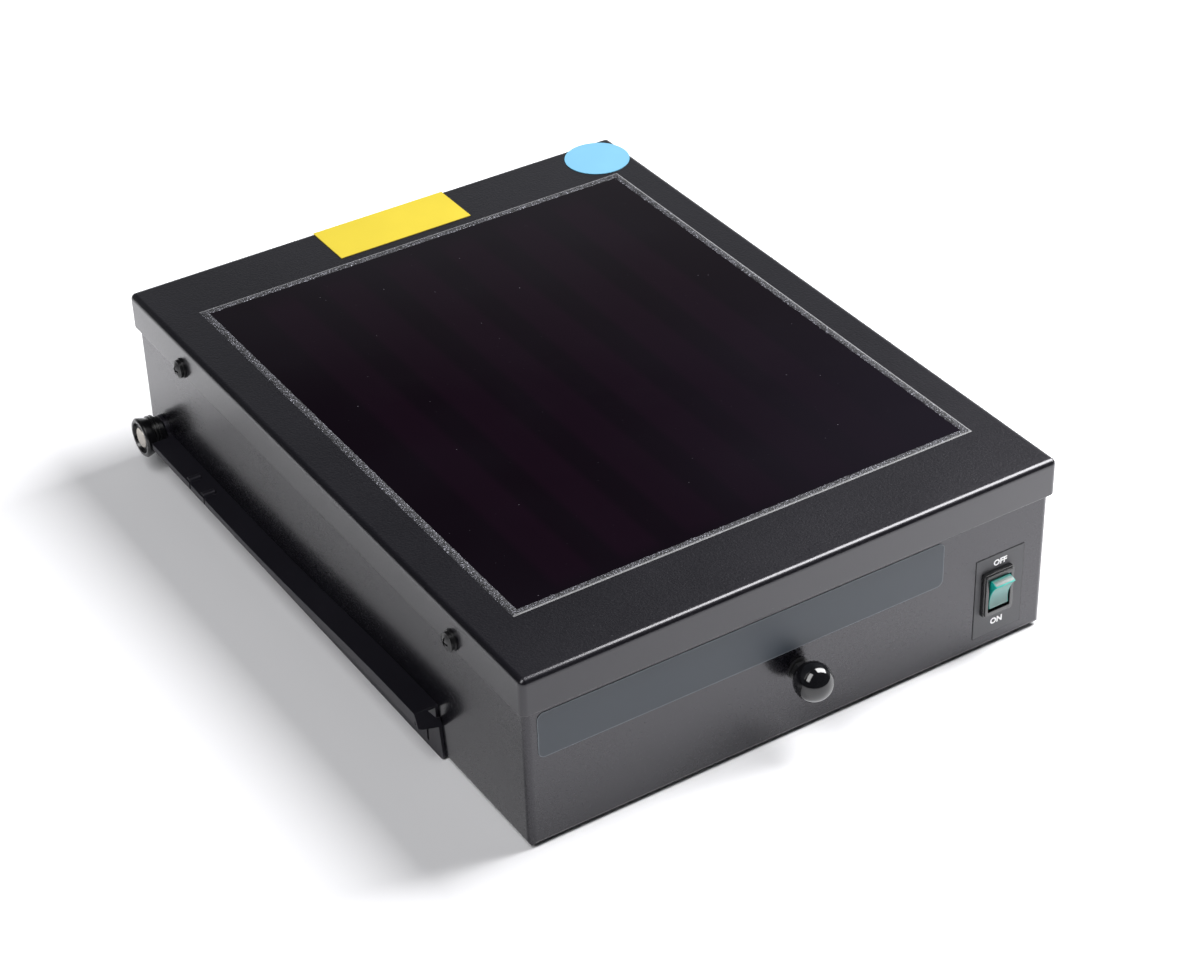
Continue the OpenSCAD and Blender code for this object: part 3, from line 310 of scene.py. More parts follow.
def green_with_painted_sheen(name, colour, props):
    """Translucent green plastic: broad faces painted pale and grey as a painted reflection, the colour
    gathered in the sides and the ridge, with painted shade towards the back.
    """
    green = Finish(name)
    tilt = math.radians(props.rocker_tilt)
    pivot = rocker_pivot()
    ahead, above = ROCKER_FACE, 7.2 * MM
    ridge_y = pivot[1] - ahead * math.cos(tilt) - above * math.sin(tilt)
    ridge_z = pivot[2] - ahead * math.sin(tilt) + above * math.cos(tilt)
    flow = green.noise(5 * MM, 2.0)
    x, y, z = green.axes()
    side = abs(x - pivot[0]).ramp(props.rocker_half_width - 0.5 * MM, props.rocker_half_width - 0.2 * MM)
    down, out = z - ridge_z, y - ridge_y
    ridge = ((down * down + out * out) ** 0.5).ramp(0.75 * MM, 0.3 * MM)
    rim = (z - pivot[2]).ramp(7.3 * MM, 7.7 * MM)
    # Painted reflection: below the ridge the face is painted pale aqua, turning grey towards its foot.
    pale = green.blend(down.ramp(-3 * MM, -13 * MM, 0.0, 0.75), tuple(0.11 + 0.31 * c for c in colour),
                       (0.11, 0.14, 0.135))
    # Painted shade: the teal of the sides, ridge and rim darkens towards the back, into the switch's well.
    depth = (out * (1 / (4 * MM)) + flow * 0.4).ramp(0.0, 1.2)
    teal_with_painted_shade = green.blend(depth, colour, tuple(c * 0.55 for c in colour))
    # Painted reflection: above the ridge the face is painted grey.
    end = (out * 0.4 + down).ramp(0.1 * MM, 0.5 * MM)
    face = green.blend(end, green.blend(flow * 0.3, pale, colour), (0.11, 0.15, 0.14))
    shade = green.blend((side + ridge + rim).least(1.0), face, teal_with_painted_shade)
    return green.close(Base_Color=shade, Roughness=0.36 + 0.08 * flow, Subsurface_Weight=0.3,
                       Subsurface_Radius=(0.4, 1.0, 0.9), Subsurface_Scale=1.2 * MM, Coat_Weight=0.05,
                       Coat_Roughness=0.2, Normal=green.relief(flow, 0.02 * MM, 0.5, 0.25 * MM))


def rocker_pivot():
    """The middle of the rocker's axis, from the frame's box: half a millimetre behind the frame's face."""
    low, high = corners("switch_frame")
    return np.array([(low[0] + high[0]) / 2, low[1] + 0.5 * MM, (low[2] + high[2]) / 2])


def plated(name, colour, rough, brushed=(1, 1, 1)):
    """Plated or bare metal with fine streaks, dull patches and slightly rounded edges."""
    metal = Finish(name)
    streak = metal.noise(0.7 * MM, 3.0, 0.6, brushed)
    dull = metal.noise(11 * MM, 4.0)
    shade = metal.blend(dull, tuple(c * 0.82 for c in colour), colour)
    worn = rough + 0.16 * (dull - 0.4) + 0.05 * streak
    return metal.close(Base_Color=shade, Metallic=1.0, Roughness=worn,
                       Normal=metal.relief(streak, 0.012 * MM, 0.6, 0.12 * MM))


def glazed(name, colour, rough, alpha):
    """Clear or coated glass for the tubes and the fuse."""
    glass = Finish(name)
    bloom = glass.noise(14 * MM, 3.0)
    shade = glass.blend(bloom, tuple(c * 0.9 for c in colour), colour)
    return glass.close(Base_Color=shade, Roughness=rough + 0.08 * bloom, Alpha=alpha, Coat_Weight=0.5,
                       Coat_Roughness=0.05)


def braided(name, colour):
    """The sleeves of the wiring, with the cores showing as soft ridges, and painted shade darkening the
    grooves between them.
    """
    wire = Finish(name)
    ridge = wire.noise(1.4 * MM, 2.0, 0.5, (0.3, 0.3, 1.0))
    # Painted shade: the colour darkens where the ridges fall away.
    shade = wire.blend(ridge, tuple(c * 0.6 for c in colour), colour)
    return wire.close(Base_Color=shade, Roughness=0.5, Normal=wire.relief(ridge, 0.2 * MM, 0.5))


def finishes(props, sizes):
    """Every finish of the object, by the name of its slot."""
    black = tuple(props.coat_colour)
    gloss = props.coat_gloss
    lid_top = float(corners("lid_shell")[1][2])
    makers = {
        "case_coat": (powder_coat, black, 0.75 * MM, 0.010 * MM, gloss - 0.09, 0.40, 0.42),
        "lid_coat": (powder_coat, black, 0.9 * MM, 0.11 * MM, gloss - 0.01, 0.6, 0.35, lid_top),
        "slide_coat": (powder_coat, tuple(c * 2.2 for c in black), 0.6 * MM, 0.02 * MM, 0.42, 0.0),
        "filter": (dark_filter, props.painted_lamp_strength),
        "silicone": (rough_silicone, (0.026, 0.026, 0.03)),
        "gasket": (moulded, (0.02, 0.02, 0.021), 0.7, 0.6, 0.1),
        "zinc": (plated, (0.62, 0.63, 0.64), 0.32),
        "black_screw": (moulded, (0.012, 0.012, 0.013), 0.3, 0.4, 0.12),
        "roller_nylon": (moulded, (0.006, 0.006, 0.007), 0.28, 0.35, 0.2, 0.3),
        "rivet": (plated, (0.64, 0.60, 0.54), 0.34),
        "knob_gloss": (moulded, (0.005, 0.005, 0.006), 0.08, 2.0, 0.2, 0.25),
        "switch_black": (moulded, (0.004, 0.004, 0.005), 0.27, 0.25, 0.0, 0.5),
        "rocker_green": (green_with_painted_sheen, tuple(props.rocker_colour), sizes),
        "brass": (plated, (0.78, 0.60, 0.30), 0.28),
        # The second colour of each film is its painted edge line: paler ones are painted highlight, darker
        # ones painted shade.
        "name_film": (plain_film, (0.036, 0.045, 0.058), (0.13, 0.15, 0.17), "name_band", 3.0 * MM,
                      0.45 * MM),
        "plate_film": (plain_film, (0.082, 0.082, 0.088), (0.03, 0.03, 0.033), "switch_plate", 0.5 * MM,
                       0.3 * MM, 0.55),
        "yellow_film": (plain_film, tuple(props.label_colour), (0.36, 0.27, 0.02), "yellow_label", 1.0 * MM,
                        0.3 * MM),
        "blue_film": (plain_film, tuple(props.disc_colour), (0.12, 0.34, 0.48), "blue_disc", 15.3 * MM,
                      0.3 * MM),
        "tray_steel": (plated, (0.60, 0.61, 0.62), 0.42, (1, 0.05, 1)),
        "mirror_sheet": (plated, (0.86, 0.87, 0.88), 0.12, (1, 0.04, 1)),
        "holder_white": (moulded, (0.78, 0.78, 0.75), 0.45, 0.3, 0.2),
        "lamp_glass": (glazed, (0.62, 0.64, 0.78), 0.18, 0.9),
        "cap_metal": (plated, (0.78, 0.78, 0.77), 0.3),
        "ballast_white": (moulded, (0.72, 0.72, 0.69), 0.5, 0.4, 0.2),
        "wire_grey": (braided, (0.16, 0.16, 0.17)),
        "fuse_glass": (glazed, (0.75, 0.80, 0.82), 0.08, 0.35),
    }
    return {name: maker(name, *rest) for name, (maker, *rest) in makers.items()}


FINISHES = {}


def finish_of(slot):
    """The finish of a slot, or a clear message if the finishes operator hasn't made it yet."""
    if slot not in FINISHES:
        raise RuntimeError(f"no finish for the slot {slot}; run the finishes operator first")
    return FINISHES[slot]


# ---- Surfaces -----------------------------------------------------------------------------

def surface(name, grid, crease, close_u=False, close_v=False):
    """A mesh from a grid of points: each cell of the grid becomes one face, and closed ways wrap round."""
    rows, cols = grid.shape[:2]
    index = np.arange(rows * cols).reshape(rows, cols)
    if close_u:
        index = np.vstack([index, index[:1]])
    if close_v:
        index = np.hstack([index, index[:, :1]])
    faces = np.stack([index[:-1, :-1], index[1:, :-1], index[1:, 1:], index[:-1, 1:]], -1).reshape(-1, 4)
    return finished_mesh(name, grid.reshape(-1, 3), faces, crease)


def finished_mesh(name, points, faces, crease):
    """A closed mesh with outward faces, smooth but for edges sharper than crease degrees."""
    mesh = bpy.data.meshes.new(name)
    mesh.from_pydata(np.asarray(points, float).tolist(), [], np.asarray(faces).tolist())
    work = bmesh.new()
    work.from_mesh(mesh)
    bmesh.ops.remove_doubles(work, verts=work.verts, dist=1e-6)
    bmesh.ops.dissolve_degenerate(work, edges=work.edges, dist=1e-7)
    bmesh.ops.recalc_face_normals(work, faces=work.faces)
    work.to_mesh(mesh)
    work.free()
    mesh.polygons.foreach_set("use_smooth", np.ones(len(mesh.polygons), bool))
    mesh.set_sharp_from_angle(angle=math.radians(crease))
    piece = bpy.data.objects.new(name, mesh)
    bpy.context.scene.collection.objects.link(piece)
    return piece


def hand_over(piece, body, slot, *nodes):
    """Gives a finished piece its finish, its body, its slot and the CAD nodes that it stands for."""
    piece.data.materials.clear()
    piece.data.materials.append(finish_of(slot))
    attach(piece, body)
    if nodes:
        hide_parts(*nodes)


def turned(name, profile, centre, axis, steps, crease):
    """A turned body: each profile point (radius, height along the axis) is carried round a full circle."""
    profile = np.asarray(profile, float)
    angle = np.linspace(0, 2 * np.pi, steps, endpoint=False)[:, None]
    ring = profile[None, :, 0]
    across = {"X": (1, 2, 0), "Y": (0, 2, 1), "Z": (0, 1, 2)}[axis]
    grid = np.zeros((steps, len(profile), 3))
    grid[..., across[0]] = ring * np.cos(angle)
    grid[..., across[1]] = ring * np.sin(angle)
    grid[..., across[2]] = profile[None, :, 1]
    closed = not (profile[0, 0] == 0 and profile[-1, 0] == 0)
    return surface(name, grid + np.asarray(centre), close_u=True, close_v=closed, crease=crease)


def rounded(points, radius, steps):
    """A closed profile whose corners give way to short curves, quadratic between the two cuts of each."""
    points = np.asarray(points, float)
    before = np.roll(points, 1, axis=0) - points
    after = np.roll(points, -1, axis=0) - points
    long_before = np.linalg.norm(before, axis=1, keepdims=True)
    long_after = np.linalg.norm(after, axis=1, keepdims=True)
    cut = np.minimum(np.minimum(long_before, long_after) * 0.45, radius)
    start = points + before / long_before * cut
    end = points + after / long_after * cut
    t = np.linspace(0, 1, steps)[None, :, None]
    curve = (1 - t) ** 2 * start[:, None] + 2 * t * (1 - t) * points[:, None] + t ** 2 * end[:, None]
    return curve.reshape(-1, 2)


def rounded_path(half_x, half_y, radius, centre, arc, extra_y=()):
    """Points and outward directions round a rectangle with round corners, anticlockwise from the right.

    Each corner is a quarter circle; extra_y adds points on the two sides that run along Y."""
    quarter = np.linspace(0, np.pi / 2, arc)
    extra = np.sort(np.asarray(extra_y, float))
    points, ways = [], []
    for k, (sx, sy) in enumerate(((1, 1), (-1, 1), (-1, -1), (1, -1))):
        turn = quarter + k * np.pi / 2
        way = np.stack([np.cos(turn), np.sin(turn)], -1)
        corner = np.array([sx * (half_x - radius), sy * (half_y - radius)]) + radius * way
        points.append(corner)
        ways.append(way)
        if k in (1, 3) and len(extra):
            side = extra[::-1] if k == 1 else extra
            points.append(np.stack([np.full(len(side), half_x if k == 3 else -half_x), side], -1))
            ways.append(np.tile([1.0 if k == 3 else -1.0, 0.0], (len(side), 1)))
    return np.concatenate(points) + np.asarray(centre), np.concatenate(ways)


# ---- Pieces -------------------------------------------------------------------------------

def folded_lid(props):
    """The lid: a folded sheet carried round its outline.

    The section runs from the window's edge over the top, round the outer fold, down the skirt, round its
    lower edge, and back inside. The skirt's lower edge rises into a round-ended slot at each lid screw."""
    low, high = corners("lid_shell")
    washers_low, washers_high = corners("lid_washers")
    seal_low, seal_high = corners("filter_seal")
    sheet = props.sheet
    fold, upright = props.lid_fold, props.lid_corner
    centre = (low[:2] + high[:2]) / 2
    half = (high[:2] - low[:2]) / 2
    screw_z = (washers_low[2] + washers_high[2]) / 2
    disc = (washers_high[2] - washers_low[2]) / 2
    screws = np.array([washers_low[1] + disc, washers_high[1] - disc]) - centre[1]
    slot = 2.3 * MM  # half the width of a screw's slot
    step = np.linspace(-1, 1, 9) * slot
    step = np.concatenate([[-slot - 1e-5], step, [slot + 1e-5]])
    outline, way = rounded_path(half[0], half[1], upright, centre, 9, (screws[:, None] + step).ravel())
    off = np.abs((outline[:, 1] - centre[1])[:, None] - screws).min(axis=1)
    on_side = np.abs(way[:, 0]) > 0.999
    lift = np.where(on_side & (off <= slot * 1.0001), np.sqrt(np.clip(slot ** 2 - off ** 2, 0, None)), -1)
    foot = np.where(lift >= 0, screw_z + lift, low[2])
    window = np.clip(outline, seal_low[:2], seal_high[:2])
    turn = np.linspace(0, np.pi / 2, 8)
    top, under = high[2], high[2] - sheet
    inner = fold - sheet
    lip = sheet / 3

    def ring(inset, height):
        height = np.broadcast_to(height, len(outline))
        return np.concatenate([outline - way * inset, height[:, None]], -1)

    def window_ring(height):
        return np.concatenate([window, np.full((len(window), 1), height)], -1)

    brace = 0.3 * MM
    rings = [window_ring(top), ring(fold + brace, top)]
    rings += [ring(fold * (1 - math.sin(a)), top - fold * (1 - math.cos(a))) for a in turn]
    rings += [ring(0, top - fold - brace), ring(0, foot + lip + brace)]
    rings += [ring(lip * (1 - math.cos(a)), foot + lip * (1 - math.sin(a))) for a in turn[::2]]
    rings += [ring(sheet - lip * (1 - math.cos(a)), foot + lip * (1 - math.sin(a))) for a in turn[::-2]]
    rings += [ring(sheet, foot + lip + brace), ring(sheet, under - inner - brace)]
    rings += [ring(sheet + inner * (1 - math.sin(a)), under - inner * (1 - math.cos(a)))
              for a in turn[::-1]]
    rings += [ring(fold + brace, under), window_ring(under)]
    return surface("lid_folded", np.stack(rings, 1), close_u=True, close_v=True, crease=50)


def seal_bead(props):
    """The silicone bead: a low dome carried round the window, its height and width broken by lumps.

    The dome's edges lap the glass and the lid. The lumps are a fixed sum of sines along the path."""
    low, high = corners("filter_seal")
    glass_low, glass_high = corners("filter_glass")
    lid_top = glass_high[2]
    width = glass_low[0] - low[0]
    inside = width + props.seal_lap
    count = props.seal_steps
    centre = (low[:2] + high[:2]) / 2
    half = (high[:2] - low[:2]) / 2
    draw = np.random.default_rng(7)
    lengths = np.array([half[1], half[0], half[1], half[0]]) * 2
    ends = np.concatenate([[0], np.cumsum(lengths)])
    run = np.unique(np.concatenate([np.arange(count) * ends[-1] / count, ends[:-1]]))
    side = np.clip(np.searchsorted(ends, run, side="right") - 1, 0, 3)
    along = (run - ends[side]) / lengths[side]
    corner = np.array([[1, -1], [1, 1], [-1, 1], [-1, -1]])
    path = (corner[side] * (1 - along[:, None]) + corner[(side + 1) % 4] * along[:, None]) * half + centre
    across = np.linspace(0, 1, 11)
    lump = np.zeros((len(run), len(across)))
    for scale, size in SEAL_LUMPS:
        waves = round(ends[-1] / (scale * MM))
        phase = draw.uniform(0, 2 * np.pi, 3)
        swing = np.sin(2 * np.pi * waves * run / ends[-1] + phase[0])[:, None]
        lump += size * swing * np.sin(across * np.pi * draw.uniform(1.0, 3.0) + phase[1])[None, :]
    dome = np.sin(np.pi * across) ** 0.6
    rise = (high[2] - lid_top) * dome[None, :] * np.clip(0.72 + lump, 0.25, 1.0)
    waver = 0.05 * MM * np.sin(2 * np.pi * np.outer(run, [90, 133, 211]) / ends[-1]
                               + draw.uniform(0, 6.28, 3)).sum(1)
    depth = inside * across[None, :] + waver[:, None] * across[None, :] ** 4
    toward = np.clip((half - np.abs(path - centre)) / MM, 0, 1)
    inward = -np.sign(path - centre) * (toward < 1e-3)
    grid = np.zeros((len(run), len(across) + 2, 3))
    grid[:, 1:-1, :2] = path[:, None, :] + inward[:, None, :] * depth[..., None]
    grid[:, 1:-1, 2] = lid_top + rise
    grid[:, 0, :2] = path
    grid[:, -1, :2] = path + inward * (width - 0.1 * MM)
    grid[:, [0, -1], 2] = lid_top - 2 * MM
    return surface("seal_bead", grid, close_u=True, close_v=True, crease=60)


def rocker_button(props):
    """The rocker: its outline seen from the side, carried across the switch, with rounded long edges.

    From the ridge down the outline is a hollow arc to the pressed end. Above the ridge and behind, it
    follows the drum. Towards both sides it shrinks along a quarter circle, which rounds the edges."""
    pivot = rocker_pivot()
    tilt = math.radians(props.rocker_tilt)
    half = props.rocker_half_width
    up, drum, foot = ROCKER_FACE, 7.6 * MM, 6.35 * MM
    rear, shoulder = 4.6 * MM, 6.0 * MM
    crest = math.sqrt(drum ** 2 - up ** 2)
    run = np.linspace(0, 1, 19)
    hollow = crest + (-foot - crest) * run
    sag = props.rocker_sag * (1 - (hollow / crest) ** 2)
    face = np.stack([-up + sag, hollow], -1)
    turn = np.linspace(math.atan2(crest, -up), math.atan2(shoulder, rear), 9)
    cap = np.stack([drum * np.cos(turn), drum * np.sin(turn)], -1)[1:]
    back = np.array([[rear, -foot]])
    profile = rounded(np.concatenate([face, back, cap[::-1]]), 0.12 * MM, 3)
    spin = np.array([[math.cos(tilt), math.sin(tilt)], [-math.sin(tilt), math.cos(tilt)]])
    profile = profile @ spin
    middle = np.array([1.0 * MM, 0.0])
    away = profile - middle
    away /= np.linalg.norm(away, axis=1, keepdims=True)
    edge = np.linspace(0, np.pi / 2, 5)
    inset = 0.3 * MM
    place = np.concatenate([-half + inset * (1 - np.cos(edge)), half - inset * (1 - np.cos(edge[::-1]))])
    shrink = np.concatenate([inset * (1 - np.sin(edge)), inset * (1 - np.sin(edge[::-1]))])
    grid = np.zeros((len(place) + 2, len(profile), 3))
    grid[1:-1, :, 0] = place[:, None]
    grid[1:-1, :, 1:] = profile[None] - away[None] * shrink[:, None, None]
    grid[0], grid[-1] = (-half, *middle), (half, *middle)
    return surface("rocker_button", grid + pivot, close_v=True, crease=38)


def switch_bezel():
    """The switch's housing and frame: round-cornered rectangles carried from the back to the face and well.

    Each row gives half width, half height, corner radius and depth. A quarter circle rounds outer edges."""
    low, high = corners("switch_frame")
    face, back, seat = low[1], high[1], corners("switch_plate")[0][1]
    centre = ((low[0] + high[0]) / 2, (low[2] + high[2]) / 2)
    wide, tall = (high[0] - low[0]) / 2, (high[2] - low[2]) / 2
    step, ledge, corner, roll = 0.8 * MM, 0.5 * MM, 0.8 * MM, 0.22 * MM
    body_wide, body_tall = 6.45 * MM, 9.45 * MM
    well_wide, well_tall, well = wide - 2 * MM, tall - 2.5 * MM, 9.6 * MM
    rows = [(0, 0, 0, back), (body_wide, body_tall, 0.4 * MM, back), (body_wide, body_tall, 0.4 * MM, seat)]
    rows += [(wide, tall, corner, seat)]
    bend = np.linspace(0, np.pi / 2, 5)
    for edge_wide, edge_tall, front in ((wide, tall, face + step), (wide - ledge, tall - ledge, face)):
        if front == face:
            rows += [(edge_wide, edge_tall, corner, face + step)]
        rows += [(edge_wide - roll * (1 - math.cos(a)), edge_tall - roll * (1 - math.cos(a)), corner,
                  front + roll * (1 - math.sin(a))) for a in bend]
    lip = 0.15 * MM
    rows += [(well_wide + lip, well_tall + lip, 0.4 * MM, face),
             (well_wide, well_tall, 0.3 * MM, face + lip),
             (well_wide, well_tall, 0.3 * MM, face + well), (0, 0, 0, face + well)]
    rings = []
    for half_wide, half_tall, radius, depth in rows:
        outline = rounded_path(half_wide, half_tall, min(radius, half_wide), centre, 6)[0]
        rings.append(np.stack([outline[:, 0], np.full(len(outline), depth), outline[:, 1]], -1))
    return surface("switch_bezel", np.stack(rings, 1), close_u=True, crease=40)


def switch_word(word, x, z, height, face_y):
    """A printed word: a text turned to face the front, as thin as paint."""
    curve = bpy.data.curves.new(f"word_{word}", "FONT")
    curve.body = word
    curve.size = height / 0.70
    curve.extrude = 0.02 * MM
    curve.offset = 0.055 * height
    curve.align_x = "CENTER"
    curve.resolution_u = 3
    text = bpy.data.objects.new(f"word_{word}", curve)
    bpy.context.scene.collection.objects.link(text)
    mesh = bpy.data.meshes.new_from_object(text.evaluated_get(bpy.context.evaluated_depsgraph_get()))
    bpy.data.objects.remove(text)
    mesh.transform(Matrix.Translation((x, face_y, z)) @ Matrix.Rotation(math.radians(90), 4, "X"))
    piece = bpy.data.objects.new(f"word_{word.lower()}", mesh)
    bpy.context.scene.collection.objects.link(piece)
    return piece


def ball_knob():
    """The knob: a ball with a flat seat, as a turned half circle whose end is cut."""
    low, high = corners("knob")
    radius = (high[0] - low[0]) / 2
    centre = np.array([(low[0] + high[0]) / 2, low[1] + radius, (low[2] + high[2]) / 2])
    flat = high[1] - centre[1]
    end = math.acos(-flat / radius)
    turn = np.linspace(0, end, 40)
    profile = np.stack([radius * np.sin(turn), -radius * np.cos(turn)], -1)
    profile[0, 0] = 0
    profile = np.vstack([profile, [[0, flat]]])
    return turned("knob_ball", profile, centre, "Y", 96, 50)


def roller_wheel(node, name, sign):
    """A roller, turned: a raised rim round a dished face, a tapered tread, two ridges and a bored hub."""
    low, high = corners(node)
    centre = np.array([0.0, (low[1] + high[1]) / 2, (low[2] + high[2]) / 2])
    out = max(abs(low[0]), abs(high[0]))
    inner = min(abs(low[0]), abs(high[0]))
    r = (high[2] - low[2]) / 2
    rib = 0.4 * MM
    tread, taper, face = out - 4.9 * MM, out - 3.4 * MM, out - 1.6 * MM
    core, ridge = r - 5 * rib, r - 1.5 * rib
    bore, hub, boss, raised = 2.55 * MM, 4.5 * MM, 6.2 * MM, 0.25 * MM
    section = [(bore, inner), (hub, inner), (hub, inner + rib), (core, inner + rib)]
    for start in (tread - 7 * rib, tread - 3 * rib):
        section += [(core, start), (ridge, start), (ridge, start + rib), (core, start + rib)]
    section += [(core, tread), (r - 3 * rib, tread), (r - 1.6 * rib, taper), (r, out - 2 * rib),
                (r - 2 * rib, out), (r - 5 * rib, out), (r - 6 * rib, face), (boss, face),
                (boss - rib, face + raised), (bore, face + raised)]
    profile = rounded(section, 0.14 * MM, 4)
    profile[:, 1] *= sign
    return turned(name, profile, centre, "X", 80, 40)


def rivet_head(name, sign):
    """A rivet: a shank through the slide, and a shallow domed head with a rolled edge."""
    low, high = corners("roller_rivets")
    out, radius, shank = high[0], (high[2] - low[2]) / 2, 2.5 * MM
    start = corners("case_shell")[1][0] + 0.05 * MM
    centre = np.array([0.0, (low[1] + high[1]) / 2, (low[2] + high[2]) / 2])
    bend = np.linspace(0, np.pi / 2, 6)
    roll = 0.3 * MM
    seat = out - 0.65 * MM
    edge = np.stack([radius - roll * (1 - np.cos(bend)), out - 0.42 * MM + roll * np.sin(bend)], -1)
    sweep = np.linspace(1, 0, 12)[1:]
    cap = np.stack([edge[-1, 0] * sweep, edge[-1, 1] + (out - edge[-1, 1]) * (1 - sweep ** 2)], -1)
    profile = np.vstack([[(0, start), (shank, start), (shank, seat), (radius, seat)], edge, cap])
    profile[:, 1] *= sign
    return turned(name, profile, centre, "X", 64, 40)


# ---- Add-on -------------------------------------------------------------------------------

class TransSizes(bpy.types.PropertyGroup):
    sheet: FloatProperty(name="Sheet", description="Thickness of the folded sheet", default=1.2 * MM,
                         unit="LENGTH")
    lid_fold: FloatProperty(name="Lid fold", description="Outer radius of the lid's folds",
                            default=2.5 * MM, unit="LENGTH")
    lid_corner: FloatProperty(name="Lid corner", description="Outer radius of the lid's upright corners",
                              default=2.8 * MM, unit="LENGTH")
    seal_lap: FloatProperty(name="Seal lap", description="How far the bead laps the glass",
                            default=0.8 * MM, unit="LENGTH")
    seal_steps: IntProperty(name="Seal steps", description="Points along the bead", default=1400,
                            min=200)
    rocker_sag: FloatProperty(name="Rocker hollow", description="Depth of the hollow in the rocker's face",
                              default=1.7 * MM, unit="LENGTH")
    rocker_tilt: FloatProperty(name="Rocker tilt", description="Tilt of the rocker at rest, in degrees",
                               default=15.0)
    rocker_half_width: FloatProperty(name="Rocker half width", description="Half the width of the rocker",
                                     default=4.9 * MM, unit="LENGTH")
    word_height: FloatProperty(name="Word height", description="Height of the words at the switch",
                               default=2.7 * MM, unit="LENGTH")


class TransColours(bpy.types.PropertyGroup):
    coat_colour: FloatVectorProperty(name="Coat", description="Colour of the powder coat",
                                     default=(0.0032, 0.0030, 0.0046), subtype="COLOR")
    coat_gloss: FloatProperty(name="Coat roughness", description="Roughness of the powder coat",
                              default=0.35, min=0, max=1)
    rocker_colour: FloatVectorProperty(name="Rocker", description="Colour of the rocker",
                                       default=(0.002, 0.40, 0.34), subtype="COLOR")
    label_colour: FloatVectorProperty(name="Label", description="Colour of the plain label",
                                      default=(0.47, 0.37, 0.025), subtype="COLOR")
    disc_colour: FloatVectorProperty(name="Disc", description="Colour of the plain disc",
                                     default=(0.125, 0.305, 0.45), subtype="COLOR")
    # How strongly the lamp bands are painted into the glass's colour.
    painted_lamp_strength: FloatProperty(name="Lamp bands", description="How strongly the lamps show in the glass",
                             default=0.45, min=0, max=1)


class TransStage(bpy.types.PropertyGroup):
    lens: FloatProperty(name="Lens", description="Focal length on a 36 mm sensor", default=86.453)
    azimuth: FloatProperty(name="Azimuth", description="Degrees round from the front", default=-31.624)
    elevation: FloatProperty(name="Elevation", description="Degrees above the horizon", default=34.936)
    roll: FloatProperty(name="Roll", description="Turn of the picture, in degrees", default=-1.791)
    distance: FloatProperty(name="Distance", description="Camera to the middle of the base",
                            default=1.25074, unit="LENGTH")
    aside: FloatProperty(name="Aside", description="Camera move to the right of its line of sight",
                         default=11.105 * MM, unit="LENGTH")
    above: FloatProperty(name="Above", description="Camera move above its line of sight",
                         default=18.116 * MM, unit="LENGTH")


class TRANS_OT_finishes(bpy.types.Operator):
    """Make every finish and give it to the CAD nodes by their slots"""
    bl_idname = "trans.finishes"
    bl_label = "Finishes"

    def execute(self, context):
        FINISHES.clear()
        FINISHES.update(finishes(context.scene.trans_colours, context.scene.trans_sizes))
        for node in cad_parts.values():
            for slot in node.material_slots:
                slot.material = finish_of(slot.material.name.split(".")[0])
        return {"FINISHED"}


class TRANS_OT_lid(bpy.types.Operator):
    """Make the folded lid and the silicone bead round the glass"""
    bl_idname = "trans.lid"
    bl_label = "Lid and seal"

    def execute(self, context):
        sizes = context.scene.trans_sizes
        hand_over(folded_lid(sizes), "lid", "lid_coat", "lid_shell")
        hand_over(seal_bead(sizes), "lid", "silicone", "filter_seal")
        return {"FINISHED"}


class TRANS_OT_switch(bpy.types.Operator):
    """Make the rocker, its frame and the two words at the switch"""
    bl_idname = "trans.switch"
    bl_label = "Switch"

    def execute(self, context):
        sizes = context.scene.trans_sizes
        hand_over(rocker_button(sizes), "rocker", "rocker_green", "switch_rocker")
        hand_over(switch_bezel(), "case", "switch_black", "switch_frame")
        face_y = corners("switch_plate")[0][1] - 0.03 * MM
        paint = moulded("word_paint", (0.94, 0.94, 0.94), 0.5, 0.4, 0.0)
        for word, (x, z) in WORDS.items():
            piece = switch_word(word, x, z, sizes.word_height, face_y)
            hand_over(piece, "case", "plate_film")
            piece.data.materials[0] = paint
        return {"FINISHED"}


class TRANS_OT_knob(bpy.types.Operator):
    """Make the ball knob"""
    bl_idname = "trans.knob"
    bl_label = "Knob"

    def execute(self, context):
        hand_over(ball_knob(), "case", "knob_gloss", "knob")
        return {"FINISHED"}


class TRANS_OT_rollers(bpy.types.Operator):
    """Make the rollers and their rivets"""
    bl_idname = "trans.rollers"
    bl_label = "Rollers"

    def execute(self, context):
        for side, sign in (("left", -1), ("right", 1)):
            hand_over(roller_wheel(f"roller_{side}", f"roller_wheel_{side}", sign), f"roller_{side}",
                      "roller_nylon", f"roller_{side}")
        for rivet in [rivet_head("rivet_left", -1), rivet_head("rivet_right", 1)]:
            hand_over(rivet, "case", "rivet", "roller_rivets")
        return {"FINISHED"}


def camera_matrix(props):
    """The camera's place and turn, from its angles round the middle of the base."""
    az, el, roll = (math.radians(v) for v in (props.azimuth, props.elevation, props.roll))
    low, high = corners("case_shell")
    origin = Vector(((low[0] + high[0]) / 2, (low[1] + high[1]) / 2, low[2]))
    back = Vector((math.sin(az) * math.cos(el), -math.cos(az) * math.cos(el), math.sin(el)))
    right = (-back).cross(Vector((0, 0, 1))).normalized()
    up = right.cross(-back)
    place = origin + back * props.distance + right * props.aside + up * props.above
    across = right * math.cos(roll) + up * math.sin(roll)
    rise = up * math.cos(roll) - right * math.sin(roll)
    turn = Matrix((across, rise, back)).transposed().to_4x4()
    return Matrix.Translation(place) @ turn


def soft_light(name, place, aim, size, power):
    """A rectangular softbox at a place, facing a point."""
    data = bpy.data.lights.new(name, "AREA")
    data.shape = "RECTANGLE"
    data.size, data.size_y = size
    data.energy = power
    light = bpy.data.objects.new(name, data)
    turn = (Vector(place) - Vector(aim)).to_track_quat("Z", "Y").to_matrix().to_4x4()
    light.matrix_world = Matrix.Translation(place) @ turn
    bpy.context.scene.collection.objects.link(light)


